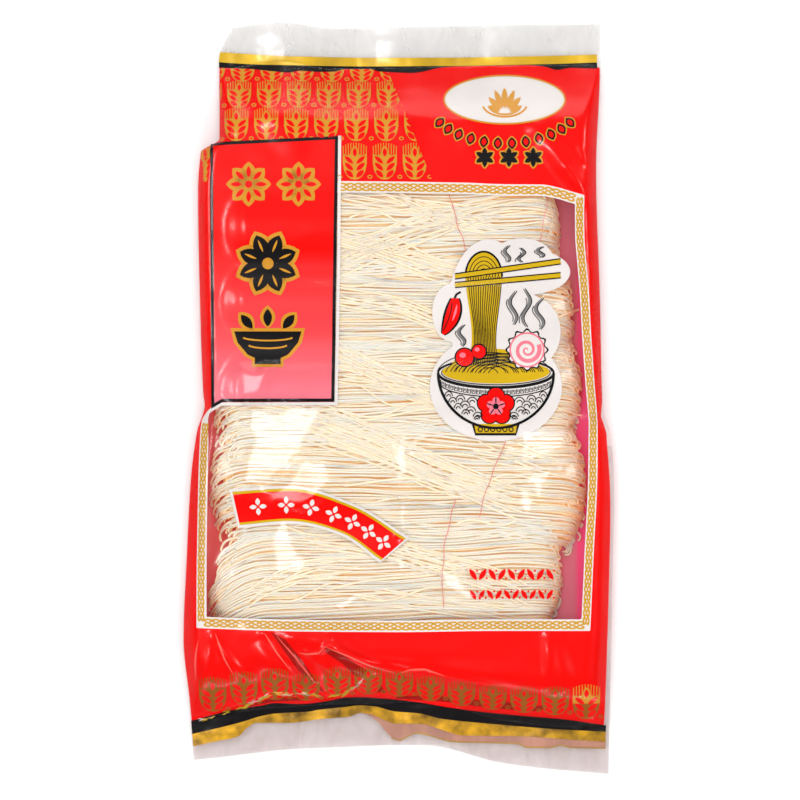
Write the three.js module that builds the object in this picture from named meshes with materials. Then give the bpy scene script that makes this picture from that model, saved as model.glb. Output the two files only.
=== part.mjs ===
// A sealed pack of wheat vermicelli, lying on its back: a flat film bag, long along Y, over five hanks of
// thin noodles that lie side by side along X. The bag is one closed solid out to the film: five low swells
// where the hanks are, long slopes down to the two welded ends, thin fins past the welds, and the creases
// that the film has there. Units are millimetres, +Z is up through the printed front, +Y is the pack's
// top, and the origin is the middle of the pack's footprint on the table.
import * as THREE from "three";

const WIDTH = 181; // the widest place, across the lower half
const LENGTH = 316; // from fin to fin
const FILL_HEIGHT = 20.6; // top of the thickest hank, before the film rounds it off
const BRIDGE_HEIGHT = 17.5; // the film between two hanks, where it spans the dip
const FIN_THICKNESS = 0.6; // two films welded face to face
const SEAM_HEIGHT = 5.5; // the bag's side edges above the table, halfway along
const SEAM_SINKS_FROM = 88; // how far from the middle the side edges start to sink
const SEAM_SINKS_TO = 145; // where they reach the fins' height
const FIN_HEIGHT = 2.2; // the welded ends above the table
const FIN_RIPPLE = 0.8; // how far the fins wave up and down
const RIPPLE_LENGTH = 46; // from one wave of a fin to the next
const TOP_FIN = 17; // depth of the flat weld at the top
const BOTTOM_FIN = 18; // depth of the flat weld at the bottom
const TOP_SLOPE = 46; // from the top weld to the first hank
const TOP_FULLNESS = 1.5; // 1 is a straight slope, and more is a rounder one
const BOTTOM_SLOPE = 40; // from the bottom weld to the last hank
const BOTTOM_FULLNESS = 1.6;
const FREE_RISE = 22; // how high the film would stand above its weld with nothing to follow
const UPPER_SIDE = 5.5; // how far in the sides have done most of their rise, above the tucks
const LOWER_SIDE = 8.5; // the same below the tucks, where the bag is spread flatter
const UNDERSIDE_CURL = 13; // the strip along each edge where the back film lifts off the table
const HANK_END_ROUND = 13; // radius of the turned-over ends of a hank
const BRIDGE_SHARPNESS = 9; // how closely the film hugs one hank before it crosses to the next
const SOFTNESS = 2.2; // how softly the film changes from one slope to the next
const WELD_GRIP = 0.7; // the share of a fin's depth that no crease runs into

const COLUMNS = 36; // grid cells across the bag
const ROWS = 52; // grid cells along the bag
const CROWDING = 0.45; // 0 spaces the grid lines evenly, and 1 crowds them towards the borders
const FILM_RED = 0xe8160c;

// The bag's four corners, as X and Y.
const TOP_LEFT = [-69.8, 155.4];
const TOP_RIGHT = [84.8, 157];
const BOTTOM_LEFT = [-86, -152];
const BOTTOM_RIGHT = [88.3, -LENGTH / 2];

const { clamp, lerp, smoothstep } = THREE.MathUtils;

// A smooth line through [place, value] knots that never overshoots them: cubic pieces with limited slopes.
function lineThrough(knots) {
  const rise = knots.slice(1).map(([place, value], i) => (value - knots[i][1]) / (place - knots[i][0]));
  const slopes = knots.map((_, i) => {
    const before = rise[Math.max(i - 1, 0)];
    const after = rise[Math.min(i, rise.length - 1)];
    return before * after <= 0 ? 0 : (2 * before * after) / (before + after);
  });
  return (place) => {
    let i = 0;
    while (i < knots.length - 2 && place > knots[i + 1][0]) i += 1;
    const [start, first] = knots[i];
    const [end, last] = knots[i + 1];
    const span = end - start;
    const t = clamp((place - start) / span, 0, 1);
    const ease = t * t * (3 - 2 * t);
    const lift = t * (1 - t) * span;
    return lerp(first, last, ease) + lift * ((1 - t) * slopes[i] - t * slopes[i + 1]);
  };
}

// The bag's outline seen from above. It is narrow where the film is drawn round the upper hanks, pinched
// by a tuck on each side near the middle, and spread flat below the tucks. The left side steps in above the
// first hank. A side gives X for each Y, and an end Y for each X.
const leftEdge = lineThrough([
  BOTTOM_LEFT.toReversed(),
  [-127, -88],
  [-101, -WIDTH / 2],
  [-68, -89.2],
  [-34, -87.4],
  [-14, -84.8],
  [-3, -81.6],
  [2, -82.2],
  [41, -83.6],
  [85, -84.4],
  [103, -83.2],
  [108.5, -75.4],
  [142, -75.6],
  TOP_LEFT.toReversed(),
]);
const rightEdge = lineThrough([
  BOTTOM_RIGHT.toReversed(),
  [-118, 89],
  [-68, 89.9],
  [-38, WIDTH / 2],
  [-16, 89.2],
  [-11, 87.6],
  [-7, 86],
  [41, 84.8],
  [96, 83.2],
  [138, 84.9],
  TOP_RIGHT.toReversed(),
]);
const topEdge = lineThrough([TOP_LEFT, [-50, LENGTH / 2], [-28, 155.2], [24, 156.2], TOP_RIGHT]);
const bottomEdge = lineThrough([BOTTOM_LEFT, [-36, -147], [11, -145.7], [44, -153.4], BOTTOM_RIGHT]);

// The hanks from the top of the pack down: the middle of each, how far it reaches each way, its height,
// and the slant of its run, as millimetres of Y for each millimetre of X.
const HANKS = [
  { y: 72, left: -76, right: 68, halfWidth: 20.5, height: 19.2, slant: 0.02 },
  { y: 38, left: -77, right: 74, halfWidth: 19.5, height: 20.1, slant: -0.03 },
  { y: 4, left: -78, right: 77, halfWidth: 20, height: FILL_HEIGHT, slant: 0.02 },
  { y: -34, left: -80, right: 79, halfWidth: 23, height: 20.1, slant: -0.02 },
  { y: -74, left: -81, right: 69, halfWidth: 20.5, height: 19.2, slant: 0.03 },
];

// The creases that are large enough to shape the bag: each runs from one point to another and stands up
// like a tent of this height, with a foot this wide on each side.
const CREASES = [
  { from: [-62, -98], to: [-41, -127], height: 2.4, foot: 8 },
  { from: [-56, -97], to: [-26, -103], height: 1.8, foot: 7 },
  { from: [-30, -101], to: [-7, -124], height: 2.6, foot: 9 },
  { from: [6, -113], to: [58, -119], height: 1.6, foot: 8 },
  { from: [64, -100], to: [72, -126], height: 1.4, foot: 7 },
  { from: [58, 112], to: [79, 84], height: 2.0, foot: 7 },
  { from: [-60, 132], to: [-44, 104], height: 1.4, foot: 8 },
  { from: [-8, 134], to: [6, 106], height: 1.3, foot: 8 },
  { from: [36, 134], to: [30, 108], height: 1.2, foot: 7 },
  { from: [-84, -1], to: [-66, -9], height: 1.8, foot: 6 },
  { from: [86, -8], to: [68, -14], height: 1.8, foot: 6 },
];

// The lower of two heights, rounded off where they cross.
function softMin(a, b) {
  const near = Math.max(SOFTNESS * 2 - Math.abs(a - b), 0);
  return Math.min(a, b) - (near * near) / (SOFTNESS * 8);
}

// The outline of one hank: half an ellipse across it, and a quarter round at each end.
function hankHeight(hank, x, y) {
  const middle = (hank.left + hank.right) / 2;
  const reach = (hank.right - hank.left) / 2;
  const across = (y - hank.y - hank.slant * (x - middle)) / hank.halfWidth;
  const pastShoulder = Math.max(Math.abs(x - middle) - (reach - HANK_END_ROUND), 0) / HANK_END_ROUND;
  const inside = 1 - across * across - pastShoulder * pastShoulder;
  return hank.height * Math.sqrt(Math.max(inside, 0));
}

// The film over all the hanks: their tops joined smoothly, with the dips bridged.
function filledHeight(x, y) {
  const powers = HANKS.map((hank) => hankHeight(hank, x, y) ** BRIDGE_SHARPNESS);
  const sum = powers.reduce((total, power) => total + power, BRIDGE_HEIGHT ** BRIDGE_SHARPNESS);
  return sum ** (1 / BRIDGE_SHARPNESS);
}

// How far a point lies inside each side and end of the outline.
function insets(x, y) {
  return {
    side: Math.min(x - leftEdge(y), rightEdge(y) - x),
    top: topEdge(x) - y,
    bottom: y - bottomEdge(x),
  };
}

// The surface that the weld and the side edges lie in. It sinks towards the ends, where the fins wave.
function seamHeight(x, y) {
  const toEnd = smoothstep(Math.abs(y), SEAM_SINKS_FROM, SEAM_SINKS_TO);
  const wave = Math.sin((x / RIPPLE_LENGTH) * 2 * Math.PI + Math.sign(y)) * FIN_RIPPLE;
  return lerp(SEAM_HEIGHT, FIN_HEIGHT + wave, toEnd);
}

// What the creases add at a point: highest on the crease, and nothing past its feet and towards its ends.
function creaseHeight(x, y) {
  return CREASES.reduce((total, { from, to, height, foot }) => {
    const run = [to[0] - from[0], to[1] - from[1]];
    const lengthSquared = run[0] ** 2 + run[1] ** 2;
    const along = clamp(((x - from[0]) * run[0] + (y - from[1]) * run[1]) / lengthSquared, 0, 1);
    const away = Math.hypot(x - from[0] - along * run[0], y - from[1] - along * run[1]);
    const taper = Math.sin(Math.PI * clamp(along, 0.12, 0.88));
    return total + height * taper * Math.max(1 - away / foot, 0);
  }, 0);
}

// The printed front: level with the weld at the edges, and up over the hanks.
function frontHeight(x, y) {
  const { side, top, bottom } = insets(x, y);
  const weld = seamHeight(x, y) + FIN_THICKNESS / 2;
  const sideReach = lerp(LOWER_SIDE, UPPER_SIDE, smoothstep(y, -20, 0));
  const sideRise = FREE_RISE * (1 - Math.exp(-Math.max(side, 0) / sideReach));
  const topRise = FREE_RISE * (1 - (1 - clamp((top - TOP_FIN) / TOP_SLOPE, 0, 1)) ** TOP_FULLNESS);
  const upBottom = clamp((bottom - BOTTOM_FIN) / BOTTOM_SLOPE, 0, 1);
  const bottomRise = FREE_RISE * (1 - (1 - upBottom) ** BOTTOM_FULLNESS);
  const over = filledHeight(x, y) - weld;
  const rise = Math.max(softMin(softMin(sideRise, over), softMin(topRise, bottomRise)), 0);
  const nearest = Math.min(side, top - TOP_FIN * WELD_GRIP, bottom - BOTTOM_FIN * WELD_GRIP);
  const loose = smoothstep(nearest, 0, 8); // a crease fades out over the last 8 mm
  return weld + rise + creaseHeight(x, y) * loose;
}

// The back: flat on the table, and curling up to the weld along every edge.
function backHeight(x, y) {
  const { side, top, bottom } = insets(x, y);
  const weld = seamHeight(x, y) - FIN_THICKNESS / 2;
  const nearest = Math.min(side, top - TOP_FIN, bottom - BOTTOM_FIN);
  return weld * (1 - smoothstep(nearest, 0, UNDERSIDE_CURL));
}

// The point at a share of the way from one point to another.
function between(a, b, share) {
  return [lerp(a[0], b[0], share), lerp(a[1], b[1], share)];
}

// The point of the footprint at share u across and share v along. It is worked out from the four edges at
// once: what the sides ask for, plus what the ends ask for, less what the corners alone would give.
function footprint(u, v) {
  const yLeft = lerp(BOTTOM_LEFT[1], TOP_LEFT[1], v);
  const yRight = lerp(BOTTOM_RIGHT[1], TOP_RIGHT[1], v);
  const xBottom = lerp(BOTTOM_LEFT[0], BOTTOM_RIGHT[0], u);
  const xTop = lerp(TOP_LEFT[0], TOP_RIGHT[0], u);
  const sides = between([leftEdge(yLeft), yLeft], [rightEdge(yRight), yRight], u);
  const ends = between([xBottom, bottomEdge(xBottom)], [xTop, topEdge(xTop)], v);
  const corners = between(between(BOTTOM_LEFT, BOTTOM_RIGHT, u), between(TOP_LEFT, TOP_RIGHT, u), v);
  return [sides[0] + ends[0] - corners[0], sides[1] + ends[1] - corners[1]];
}

// Grid lines stand closer together near both borders, where the film bends most.
function crowded(share) {
  return lerp(share, 0.5 - 0.5 * Math.cos(Math.PI * share), CROWDING);
}

// The bag starts as a box of unit size whose top becomes the front, whose bottom becomes the back, and
// whose four narrow sides become the edge of the weld.
function bagGeometry() {
  const geometry = new THREE.BoxGeometry(1, 1, 1, COLUMNS, ROWS, 1);
  const position = geometry.attributes.position;
  for (let i = 0; i < position.count; i += 1) {
    const u = crowded(position.getX(i) + 0.5);
    const v = crowded(position.getY(i) + 0.5);
    const [x, y] = footprint(u, v);
    const z = position.getZ(i) > 0 ? frontHeight(x, y) : backHeight(x, y);
    position.setXYZ(i, x, y, z);
  }
  geometry.computeVertexNormals();
  return geometry;
}

const film = new THREE.MeshStandardMaterial({ color: FILM_RED, roughness: 0.25, metalness: 0 });
const bag = new THREE.Mesh(bagGeometry(), film);
bag.name = "bag";

const pack = new THREE.Group();
pack.add(bag);

export default pack;
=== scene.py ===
"""A sealed pack of wheat vermicelli: clear film, the print under it, five hanks of noodles and their ties."""

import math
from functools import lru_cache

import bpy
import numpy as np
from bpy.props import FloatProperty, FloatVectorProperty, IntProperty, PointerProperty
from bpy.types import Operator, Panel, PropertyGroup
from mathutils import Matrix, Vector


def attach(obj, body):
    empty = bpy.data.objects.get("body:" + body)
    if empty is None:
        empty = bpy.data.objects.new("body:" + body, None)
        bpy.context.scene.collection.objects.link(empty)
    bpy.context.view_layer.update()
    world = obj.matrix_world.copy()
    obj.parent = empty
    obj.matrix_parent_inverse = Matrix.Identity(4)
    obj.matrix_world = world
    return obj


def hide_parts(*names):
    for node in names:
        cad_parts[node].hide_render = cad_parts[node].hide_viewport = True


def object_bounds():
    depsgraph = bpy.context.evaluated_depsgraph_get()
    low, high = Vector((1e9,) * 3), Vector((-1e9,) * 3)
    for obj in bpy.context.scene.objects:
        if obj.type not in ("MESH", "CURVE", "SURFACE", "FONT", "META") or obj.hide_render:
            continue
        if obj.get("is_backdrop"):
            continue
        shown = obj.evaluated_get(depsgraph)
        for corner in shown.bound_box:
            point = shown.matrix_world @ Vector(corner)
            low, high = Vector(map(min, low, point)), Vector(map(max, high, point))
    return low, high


bl_info = {
    "name": "Pack of wheat vermicelli",
    "version": (1, 0, 0),
    "blender": (4, 5, 0),
    "location": "View3D > Sidebar > Vermicelli",
    "description": "Dresses the packed bag as a printed film pack with noodles inside",
    "category": "Add Mesh",
}

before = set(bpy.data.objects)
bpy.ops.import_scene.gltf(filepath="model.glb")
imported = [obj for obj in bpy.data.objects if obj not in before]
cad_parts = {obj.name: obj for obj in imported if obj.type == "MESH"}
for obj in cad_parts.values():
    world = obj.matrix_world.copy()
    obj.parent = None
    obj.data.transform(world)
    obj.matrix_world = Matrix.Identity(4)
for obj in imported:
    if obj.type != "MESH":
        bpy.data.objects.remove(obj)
CAD_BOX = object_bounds()

MM = 0.001


# ---------------------------------------------------------------- what a user would change

def length(name, description, default):
    return FloatProperty(name=name, description=description, default=default,
                         unit="LENGTH", min=0.0, precision=5)


def colour(name, description, default):
    return FloatVectorProperty(name=name, description=description, default=default,
                               subtype="COLOR", size=3, min=0.0, max=1.0)


class PackSizes(PropertyGroup):
    """Sizes of the film and of what is printed on it."""
    bridge_height: length("Bridge height", "Film between two hanks, where it spans the dip", 17.5 * MM)
    top_weld: length("Top weld", "Depth of the flat weld at the top", 17 * MM)
    bottom_weld: length("Bottom weld", "Depth of the flat weld at the bottom", 18 * MM)
    film_gap: length("Film gap", "Distance between the two films where they are welded", 0.4 * MM)
    wrinkle: length("Wrinkle height", "Height of the film's fine wrinkles", 0.10 * MM)
    border: length("Border width", "Pale border round the window", 4.8 * MM)
    scroll_pitch: length("Scroll pitch", "One curl of the scroll in the border", 3.3 * MM)
    label_line: length("Label line", "Black line round the label", 1.3 * MM)


class NoodleSizes(PropertyGroup):
    """Sizes of the noodles and of the threads that tie them."""
    strand: length("Strand diameter", "Diameter of one noodle", 1.08 * MM)
    thread: length("Thread diameter", "Diameter of a tie", 0.32 * MM)
    wander: length("Wander", "How far a noodle strays from its neighbours", 0.9 * MM)
    layers: IntProperty(name="Layers", description="Layers of noodles in a hank", default=5, min=1)
    across: IntProperty(name="Across", description="Noodles side by side in one layer", default=40, min=4)
    seed: IntProperty(name="Seed", description="Start of every random draw", default=7)


class PackColours(PropertyGroup):
    """Base colours of the inks, the dough and the threads."""
    red: colour("Red", "Ground of the print", (0.82, 0.0016, 0.0005))
    gold: colour("Gold", "Bands at both ends", (0.55, 0.335, 0.002))
    ochre: colour("Ochre", "Wheat ears in the header", (0.62, 0.275, 0.024))
    # Painted shade: the ears' gold at the foot, darkened for the folds they lie in.
    olive: colour("Olive gold", "Wheat ears at the foot", (0.30, 0.095, 0.008))
    black: colour("Black", "Bands and lines", (0.006, 0.005, 0.006))
    grey: colour("Grey", "Shading in the picture", (0.20, 0.19, 0.19))
    # Painted light and shade: the foil's ink is mottled for the crumples of the band.
    foil: colour("Foil gold", "Crumpled gold band at the foot", (0.45, 0.235, 0.006))
    scroll: colour("Scroll gold", "Scroll in the window's border", (0.60, 0.31, 0.02))
    # Painted shade: dark red in the pleats, for print that lies double and the shade of the fold.
    dark_red: colour("Dark red", "Print double in a pleat, darkened as painted shade", (0.33, 0.004, 0.002))
    white: colour("White", "Pale grounds", (0.74, 0.69, 0.67))
    yellow: colour("Yellow", "Edge lines and noodles in the picture", (0.60, 0.385, 0.006))
    # Painted highlight: pale red along the sharp creases, where the film catches the light.
    ridge: colour("Crease highlight red", "Pale red painted along a crease as its highlight", (0.82, 0.11, 0.085))
    pink: colour("Pink", "Foot of the label", (0.80, 0.19, 0.25))
    dough: colour("Dough", "Noodles at the top of a hank", (0.835, 0.775, 0.695))
    # Painted light and shade: the ochre that noodles take deep in a hank, for the shade between strands and
    # the light that translucent strands pass on.
    deep_dough_shade: colour("Deep dough shade", "Noodles deep in a hank", (1.0, 0.83, 0.50))
    thread: colour("Thread", "Ties round the hanks", (0.80, 0.26, 0.21))


def sizes():
    return bpy.context.scene.pack_sizes


def noodles():
    return bpy.context.scene.noodle_sizes


def colours():
    return bpy.context.scene.pack_colours


# ---------------------------------------------------------------- the bag's form, as in the frame

TOP_LEFT, TOP_RIGHT = (-69.8, 155.4), (84.8, 157)
BOTTOM_LEFT, BOTTOM_RIGHT = (-86, -152), (88.3, -158)
# Each side gives X for a Y, and each end gives Y for an X, in millimetres.
LEFT_EDGE = [(-152, -86), (-127, -88), (-101, -90.5), (-68, -89.2), (-34, -87.4), (-14, -84.8),
             (-3, -81.6), (2, -82.2), (41, -83.6), (85, -84.4), (103, -83.2), (108.5, -75.4),
             (142, -75.6), (155.4, -69.8)]
RIGHT_EDGE = [(-158, 88.3), (-118, 89), (-68, 89.9), (-38, 90.5), (-16, 89.2), (-11, 87.6), (-7, 86),
              (41, 84.8), (96, 83.2), (138, 84.9), (157, 84.8)]
TOP_EDGE = [TOP_LEFT, (-50, 158), (-28, 155.2), (24, 156.2), TOP_RIGHT]
BOTTOM_EDGE = [BOTTOM_LEFT, (-36, -147), (11, -145.7), (44, -153.4), BOTTOM_RIGHT]

# Middle Y, left and right reach, half width, height and slant of each hank, from the top of the pack down.
HANKS = [
    (72, -76, 68, 20.5, 19.2, 0.02),
    (38, -77, 74, 19.5, 20.1, -0.03),
    (4, -78, 77, 20, 20.6, 0.02),
    (-34, -80, 79, 23, 20.1, -0.02),
    (-74, -81, 69, 20.5, 19.2, 0.03),
]
# Noodles that fill the dips between the hanks, as one low wide hank, and where the tie of each hank is.
BETWEEN_HANKS = (-1, -78, 71, 104, 16.8, 0)
TIES_AT = (26, 10, 30, 38, 19)
# How far the left end of each hank sags towards the foot, and over what length.
LEFT_SAG = ((5, 16), (5, 16), (6, 18), (7, 20), (14, 27))

# Creases as X and Y of both ends, height and foot: first the eleven of the frame, then finer ones.
CREASES = [
    (-62, -98, -41, -127, 2.4, 8), (-56, -97, -26, -103, 1.8, 7), (-30, -101, -7, -124, 2.6, 9),
    (6, -113, 58, -119, 1.6, 8), (64, -100, 72, -126, 1.4, 7), (58, 112, 79, 84, 2.0, 7),
    (-60, 132, -44, 104, 0.9, 9), (-8, 134, 6, 106, 0.6, 9), (36, 134, 30, 108, 0.6, 9),
    (-84, -1, -66, -9, 1.8, 6), (86, -8, 68, -14, 1.8, 6),
    (-65, -36, -31, -20.5, 0.8, 2.6), (2, -13, 2.5, -52, 0.7, 2.0), (1, -50, 3, -78, 0.5, 2.0),
    (-28, -80, -14, -90, 0.5, 2.4), (-29, -99, -24, -106, 0.9, 3), (70, 96, 82, 78, 0.9, 3),
    (76, 104, 83, 92, 0.8, 2.6), (84, 26, 85, 10, 0.7, 2), (-83, 28, -81, 2, 0.8, 2),
    (-88, -136, -70, -129.2, 1.0, 2.2), (-74, -130.8, -53, -123.9, 1.0, 2.2),
    (-57, -124.3, -31, -124.2, 1.0, 2.2), (-32, -126, -13, -116.5, 1.1, 2.4),
    (-2, -116, 12, -113.0, 0.7, 2.2), (8, -113.4, 48, -122.6, 0.7, 2.2),
    (-78, -101, -82, -124, 0.7, 3), (-44, -100, -18, -124, 1.0, 2.6), (-12, -108, 12, -112, 0.6, 2.4),
    (62, -99, 62, -120, 0.7, 3), (-10, -134, -2, -146, 1.2, 4), (16, -134, 4, -145, 1.2, 4),
    (72, -140, 84, -134, 0.8, 2.4),
    (-77.5, -99, -61, -121, 1.3, 3.4), (-55.7, -98, -30, -124.7, 2.1, 3.4),
    (-30, -103.5, 0.6, -115, 1.9, 3.0), (-44, -105.8, -33.8, -106.7, 0.8, 2.4),
    (-33.8, -106.7, -29, -103, 0.9, 2.4), (-47, -101, -38, -118, 0.9, 2.6),
    (-86, 30, -85, 4, 0.7, 2.2), (82, 100, 83, 62, 0.6, 2.2),
]

# Flat facets in the film, each as the corners of a convex outline taken clockwise. They all face the small
# bright light, so each one shows it as a pale patch.
FACETS = [
    [(-61.5, -3.4), (-31.0, -2.6), (-32.8, -12.5), (-52.1, -36.0), (-65.5, -36.0)],
    [(-57.5, -39.8), (-29.0, -22.0), (-21.0, -38.5), (-41.4, -43.5)],
    [(-48.0, -54.0), (-34.5, -68.0), (-54.5, -75.0)],
    [(61.5, -16.5), (68, -21.5), (58.8, -42.0), (51.2, -40.0)],
    [(8.5, -67.0), (18.4, -67.3), (37.0, -83.5), (28, -86.8)],
    [(-28.8, -87.5), (-17.9, -80.2), (-14.6, -82.5), (-24.2, -89.8)],
    [(-1.0, -18.5), (4.6, -18.5), (4.2, -32.5), (-0.8, -32.5)],
    [(-0.8, -41.5), (4.2, -41.5), (4.0, -57.0), (-0.6, -57.0)],
    [(-63.6, 10.9), (-54.8, 10.9), (-57.3, 2), (-64.9, 2)],
    [(50, -12.5), (71, -12.0), (70, -22.5), (48, -25.5)],
    [(49.5, -37.5), (54.5, -38.5), (56.5, -48.5), (51.5, -49.0)],
]
GLARE_AT, EYE_HEIGHT = (-0.417, 0.1425, 1.32), 2.0

SEAM_HEIGHT, FIN_HEIGHT, FIN_RIPPLE, RIPPLE_LENGTH = 5.5 * MM, 2.2 * MM, 0.8 * MM, 46 * MM
SEAM_SINKS = (88 * MM, 145 * MM)
TOP_SLOPE, BOTTOM_SLOPE, FREE_RISE = 46 * MM, 40 * MM, 22 * MM
UPPER_SIDE, LOWER_SIDE, UNDERSIDE_CURL = 5.5 * MM, 8.5 * MM, 13 * MM
HANK_END_ROUND, SOFTNESS, BRIDGE_SHARPNESS, WELD_GRIP = 13 * MM, 2.2 * MM, 9, 0.7


def smoothstep(value, low, high):
    """0 below low, 1 above high, and a smooth S between them."""
    share = np.clip((value - low) / (high - low), 0, 1)
    return share * share * (3 - 2 * share)


def least(*fields):
    """The lowest of several fields at each point."""
    return np.minimum.reduce(fields)


def line_through(knots, place):
    """Smooth line through knots given in millimetres: cubic pieces whose slope at a knot is the harmonic
    mean of the slopes beside it, or 0 where those differ in sign, so the line never overshoots."""
    at, value = np.array(knots, float).T * MM
    rise = np.diff(value) / np.diff(at)
    before, after = np.r_[rise[:1], rise], np.r_[rise, rise[-1:]]
    both = before + after
    slope = np.where(before * after > 0, 2 * before * after / np.where(both == 0, 1, both), 0)
    i = np.clip(np.searchsorted(at, place) - 1, 0, len(at) - 2)
    span = at[i + 1] - at[i]
    t = np.clip((place - at[i]) / span, 0, 1)
    ease = t * t * (3 - 2 * t)
    lift = t * (1 - t) * span
    return value[i] + (value[i + 1] - value[i]) * ease + lift * ((1 - t) * slope[i] - t * slope[i + 1])


def noise(x, y, size_x, size_y, seed):
    """Smooth noise from -1 to 1: random values at the corners of size_x by size_y cells, eased between
    them."""
    values = np.random.default_rng(seed).uniform(-1, 1, (64, 64))
    gx, gy = np.asarray(x) / size_x + 200, np.asarray(y) / size_y + 200
    ix, iy = np.floor(gx).astype(int), np.floor(gy).astype(int)
    fx, fy = smoothstep(gx - ix, 0, 1), smoothstep(gy - iy, 0, 1)
    low = values[ix % 64, iy % 64] * (1 - fx) + values[(ix + 1) % 64, iy % 64] * fx
    high = values[ix % 64, (iy + 1) % 64] * (1 - fx) + values[(ix + 1) % 64, (iy + 1) % 64] * fx
    return low * (1 - fy) + high * fy


def insets(x, y):
    """How far a point lies inside the nearer side, the top end and the bottom end."""
    side = np.minimum(x - line_through(LEFT_EDGE, y), line_through(RIGHT_EDGE, y) - x)
    return side, line_through(TOP_EDGE, x) - y, y - line_through(BOTTOM_EDGE, x)


def soft_min(a, b):
    """The lower of two heights, rounded off where they cross."""
    near = np.maximum(SOFTNESS * 2 - np.abs(a - b), 0)
    return np.minimum(a, b) - near ** 2 / (SOFTNESS * 8)


def hank_height(hank, x, y, widen=1.0):
    """Half an ellipse across the hank, and a quarter round at each end."""
    mid_y, left, right, half_width, height, slant = hank
    middle, reach = (left + right) / 2 * MM, (right - left) / 2 * MM
    across = (y - mid_y * MM - slant * (x - middle)) / (half_width * MM * widen)
    past = np.maximum(np.abs(x - middle) - (reach - HANK_END_ROUND), 0) / HANK_END_ROUND
    return height * MM * np.sqrt(np.maximum(1 - across ** 2 - past ** 2, 0))


def joined(heights):
    """The highest of several heights, with the steps between them smoothed by a power mean."""
    scaled = [h / (20 * MM) for h in heights]
    return 20 * MM * sum(h ** BRIDGE_SHARPNESS for h in scaled) ** (1 / BRIDGE_SHARPNESS)


def seam_height(x, y):
    """The surface that the welds lie in. It sinks towards the ends, where the fins wave."""
    to_end = smoothstep(np.abs(y), *SEAM_SINKS)
    wave = np.sin(x / RIPPLE_LENGTH * 2 * math.pi + np.sign(y)) * FIN_RIPPLE
    return SEAM_HEIGHT + (FIN_HEIGHT + wave - SEAM_HEIGHT) * to_end


def crease_height(x, y):
    """Each crease is a rounded tent: a raised cosine across it, and half a sine wave along it."""
    total = np.zeros_like(x)
    for x0, y0, x1, y1, height, foot in np.array(CREASES, float) * MM:
        run_x, run_y = x1 - x0, y1 - y0
        along = np.clip(((x - x0) * run_x + (y - y0) * run_y) / (run_x ** 2 + run_y ** 2), 0, 1)
        away = np.hypot(x - x0 - along * run_x, y - y0 - along * run_y)
        tent = 0.5 + 0.5 * np.cos(math.pi * np.clip(away / foot, 0, 1))
        total += height * np.sin(math.pi * np.clip(along, 0.12, 0.88)) * tent
    return total


def wrinkles(x, y, side, top, bottom):
    """Fine unevenness of the film: long low noise over the hanks, pleats that fan out from both welds, and
    bumps that are pressed into the welds, the small ones fainter at the head."""
    fine = noise(x, y, 11 * MM, 5 * MM, 11) + 1.5 * noise(x, y, 26 * MM, 15 * MM, 12)
    pleats = noise(x + 0.12 * y, y, 5.5 * MM, 60 * MM, 13) + 0.6 * noise(x, y, 3 * MM, 25 * MM, 14)
    from_top, from_bottom = top - sizes().top_weld, bottom - sizes().bottom_weld
    near = np.maximum(np.exp(-np.abs(from_top) / (9 * MM)), np.exp(-np.abs(from_bottom) / (11 * MM)))
    in_weld = smoothstep(-np.minimum(from_top, from_bottom), 0, 3 * MM)
    edge = smoothstep(least(side, top, bottom), 0, 5 * MM)
    smoother_head = 1 - 0.7 * smoothstep(y, -20 * MM, 20 * MM)
    small = 1.3 * smoother_head * noise(x, y, 3.2 * MM, 2.6 * MM, 15)
    pressed = in_weld * (small + 1.8 * noise(x, y, 9 * MM, 7 * MM, 16))
    return sizes().wrinkle * edge * (fine + 2.4 * pleats * near + pressed)


def free_front_height(x, y):
    """The front film without its facets: level with the weld at the edges, and up over the hanks."""
    side, top, bottom = insets(x, y)
    weld = seam_height(x, y) + sizes().film_gap / 2
    side_reach = LOWER_SIDE + (UPPER_SIDE - LOWER_SIDE) * smoothstep(y, -20 * MM, 0)
    side_rise = FREE_RISE * (1 - np.exp(-np.maximum(side, 0) / side_reach))
    up_top = np.clip((top - sizes().top_weld) / TOP_SLOPE, 0, 1)
    up_bottom = np.clip((bottom - sizes().bottom_weld) / BOTTOM_SLOPE, 0, 1)
    end_rise = soft_min(FREE_RISE * (1 - (1 - up_top) ** 1.5), FREE_RISE * (1 - (1 - up_bottom) ** 1.6))
    filled = joined([hank_height(h, x, y) for h in HANKS] + [sizes().bridge_height + 0 * x])
    rise = np.maximum(soft_min(soft_min(side_rise, filled - weld), end_rise), 0)
    nearest = least(side, top - sizes().top_weld * WELD_GRIP, bottom - sizes().bottom_weld * WELD_GRIP)
    creases = crease_height(x, y) * smoothstep(nearest, 0, 8 * MM)
    return weld + rise + creases + wrinkles(x, y, side, top, bottom)


def inset_of_middle(corners):
    """How far the mean of a convex outline's corners is from its nearest side."""
    side = np.roll(corners, -1, 0) - corners
    away = corners.mean(0) - corners
    return np.min(np.abs(side[:, 0] * away[:, 1] - side[:, 1] * away[:, 0]) / np.hypot(*side.T))


def glare_slope(x, y):
    """Slope of a surface that shows the small bright light to an eye over the pack: its normal lies halfway
    between the directions to both."""
    eye, lamp = np.array((-x, -y, EYE_HEIGHT)), np.array(GLARE_AT) - (x, y, 0)
    halfway = eye / np.linalg.norm(eye) + lamp / np.linalg.norm(lamp)
    return -halfway[:2] / halfway[2]


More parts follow.
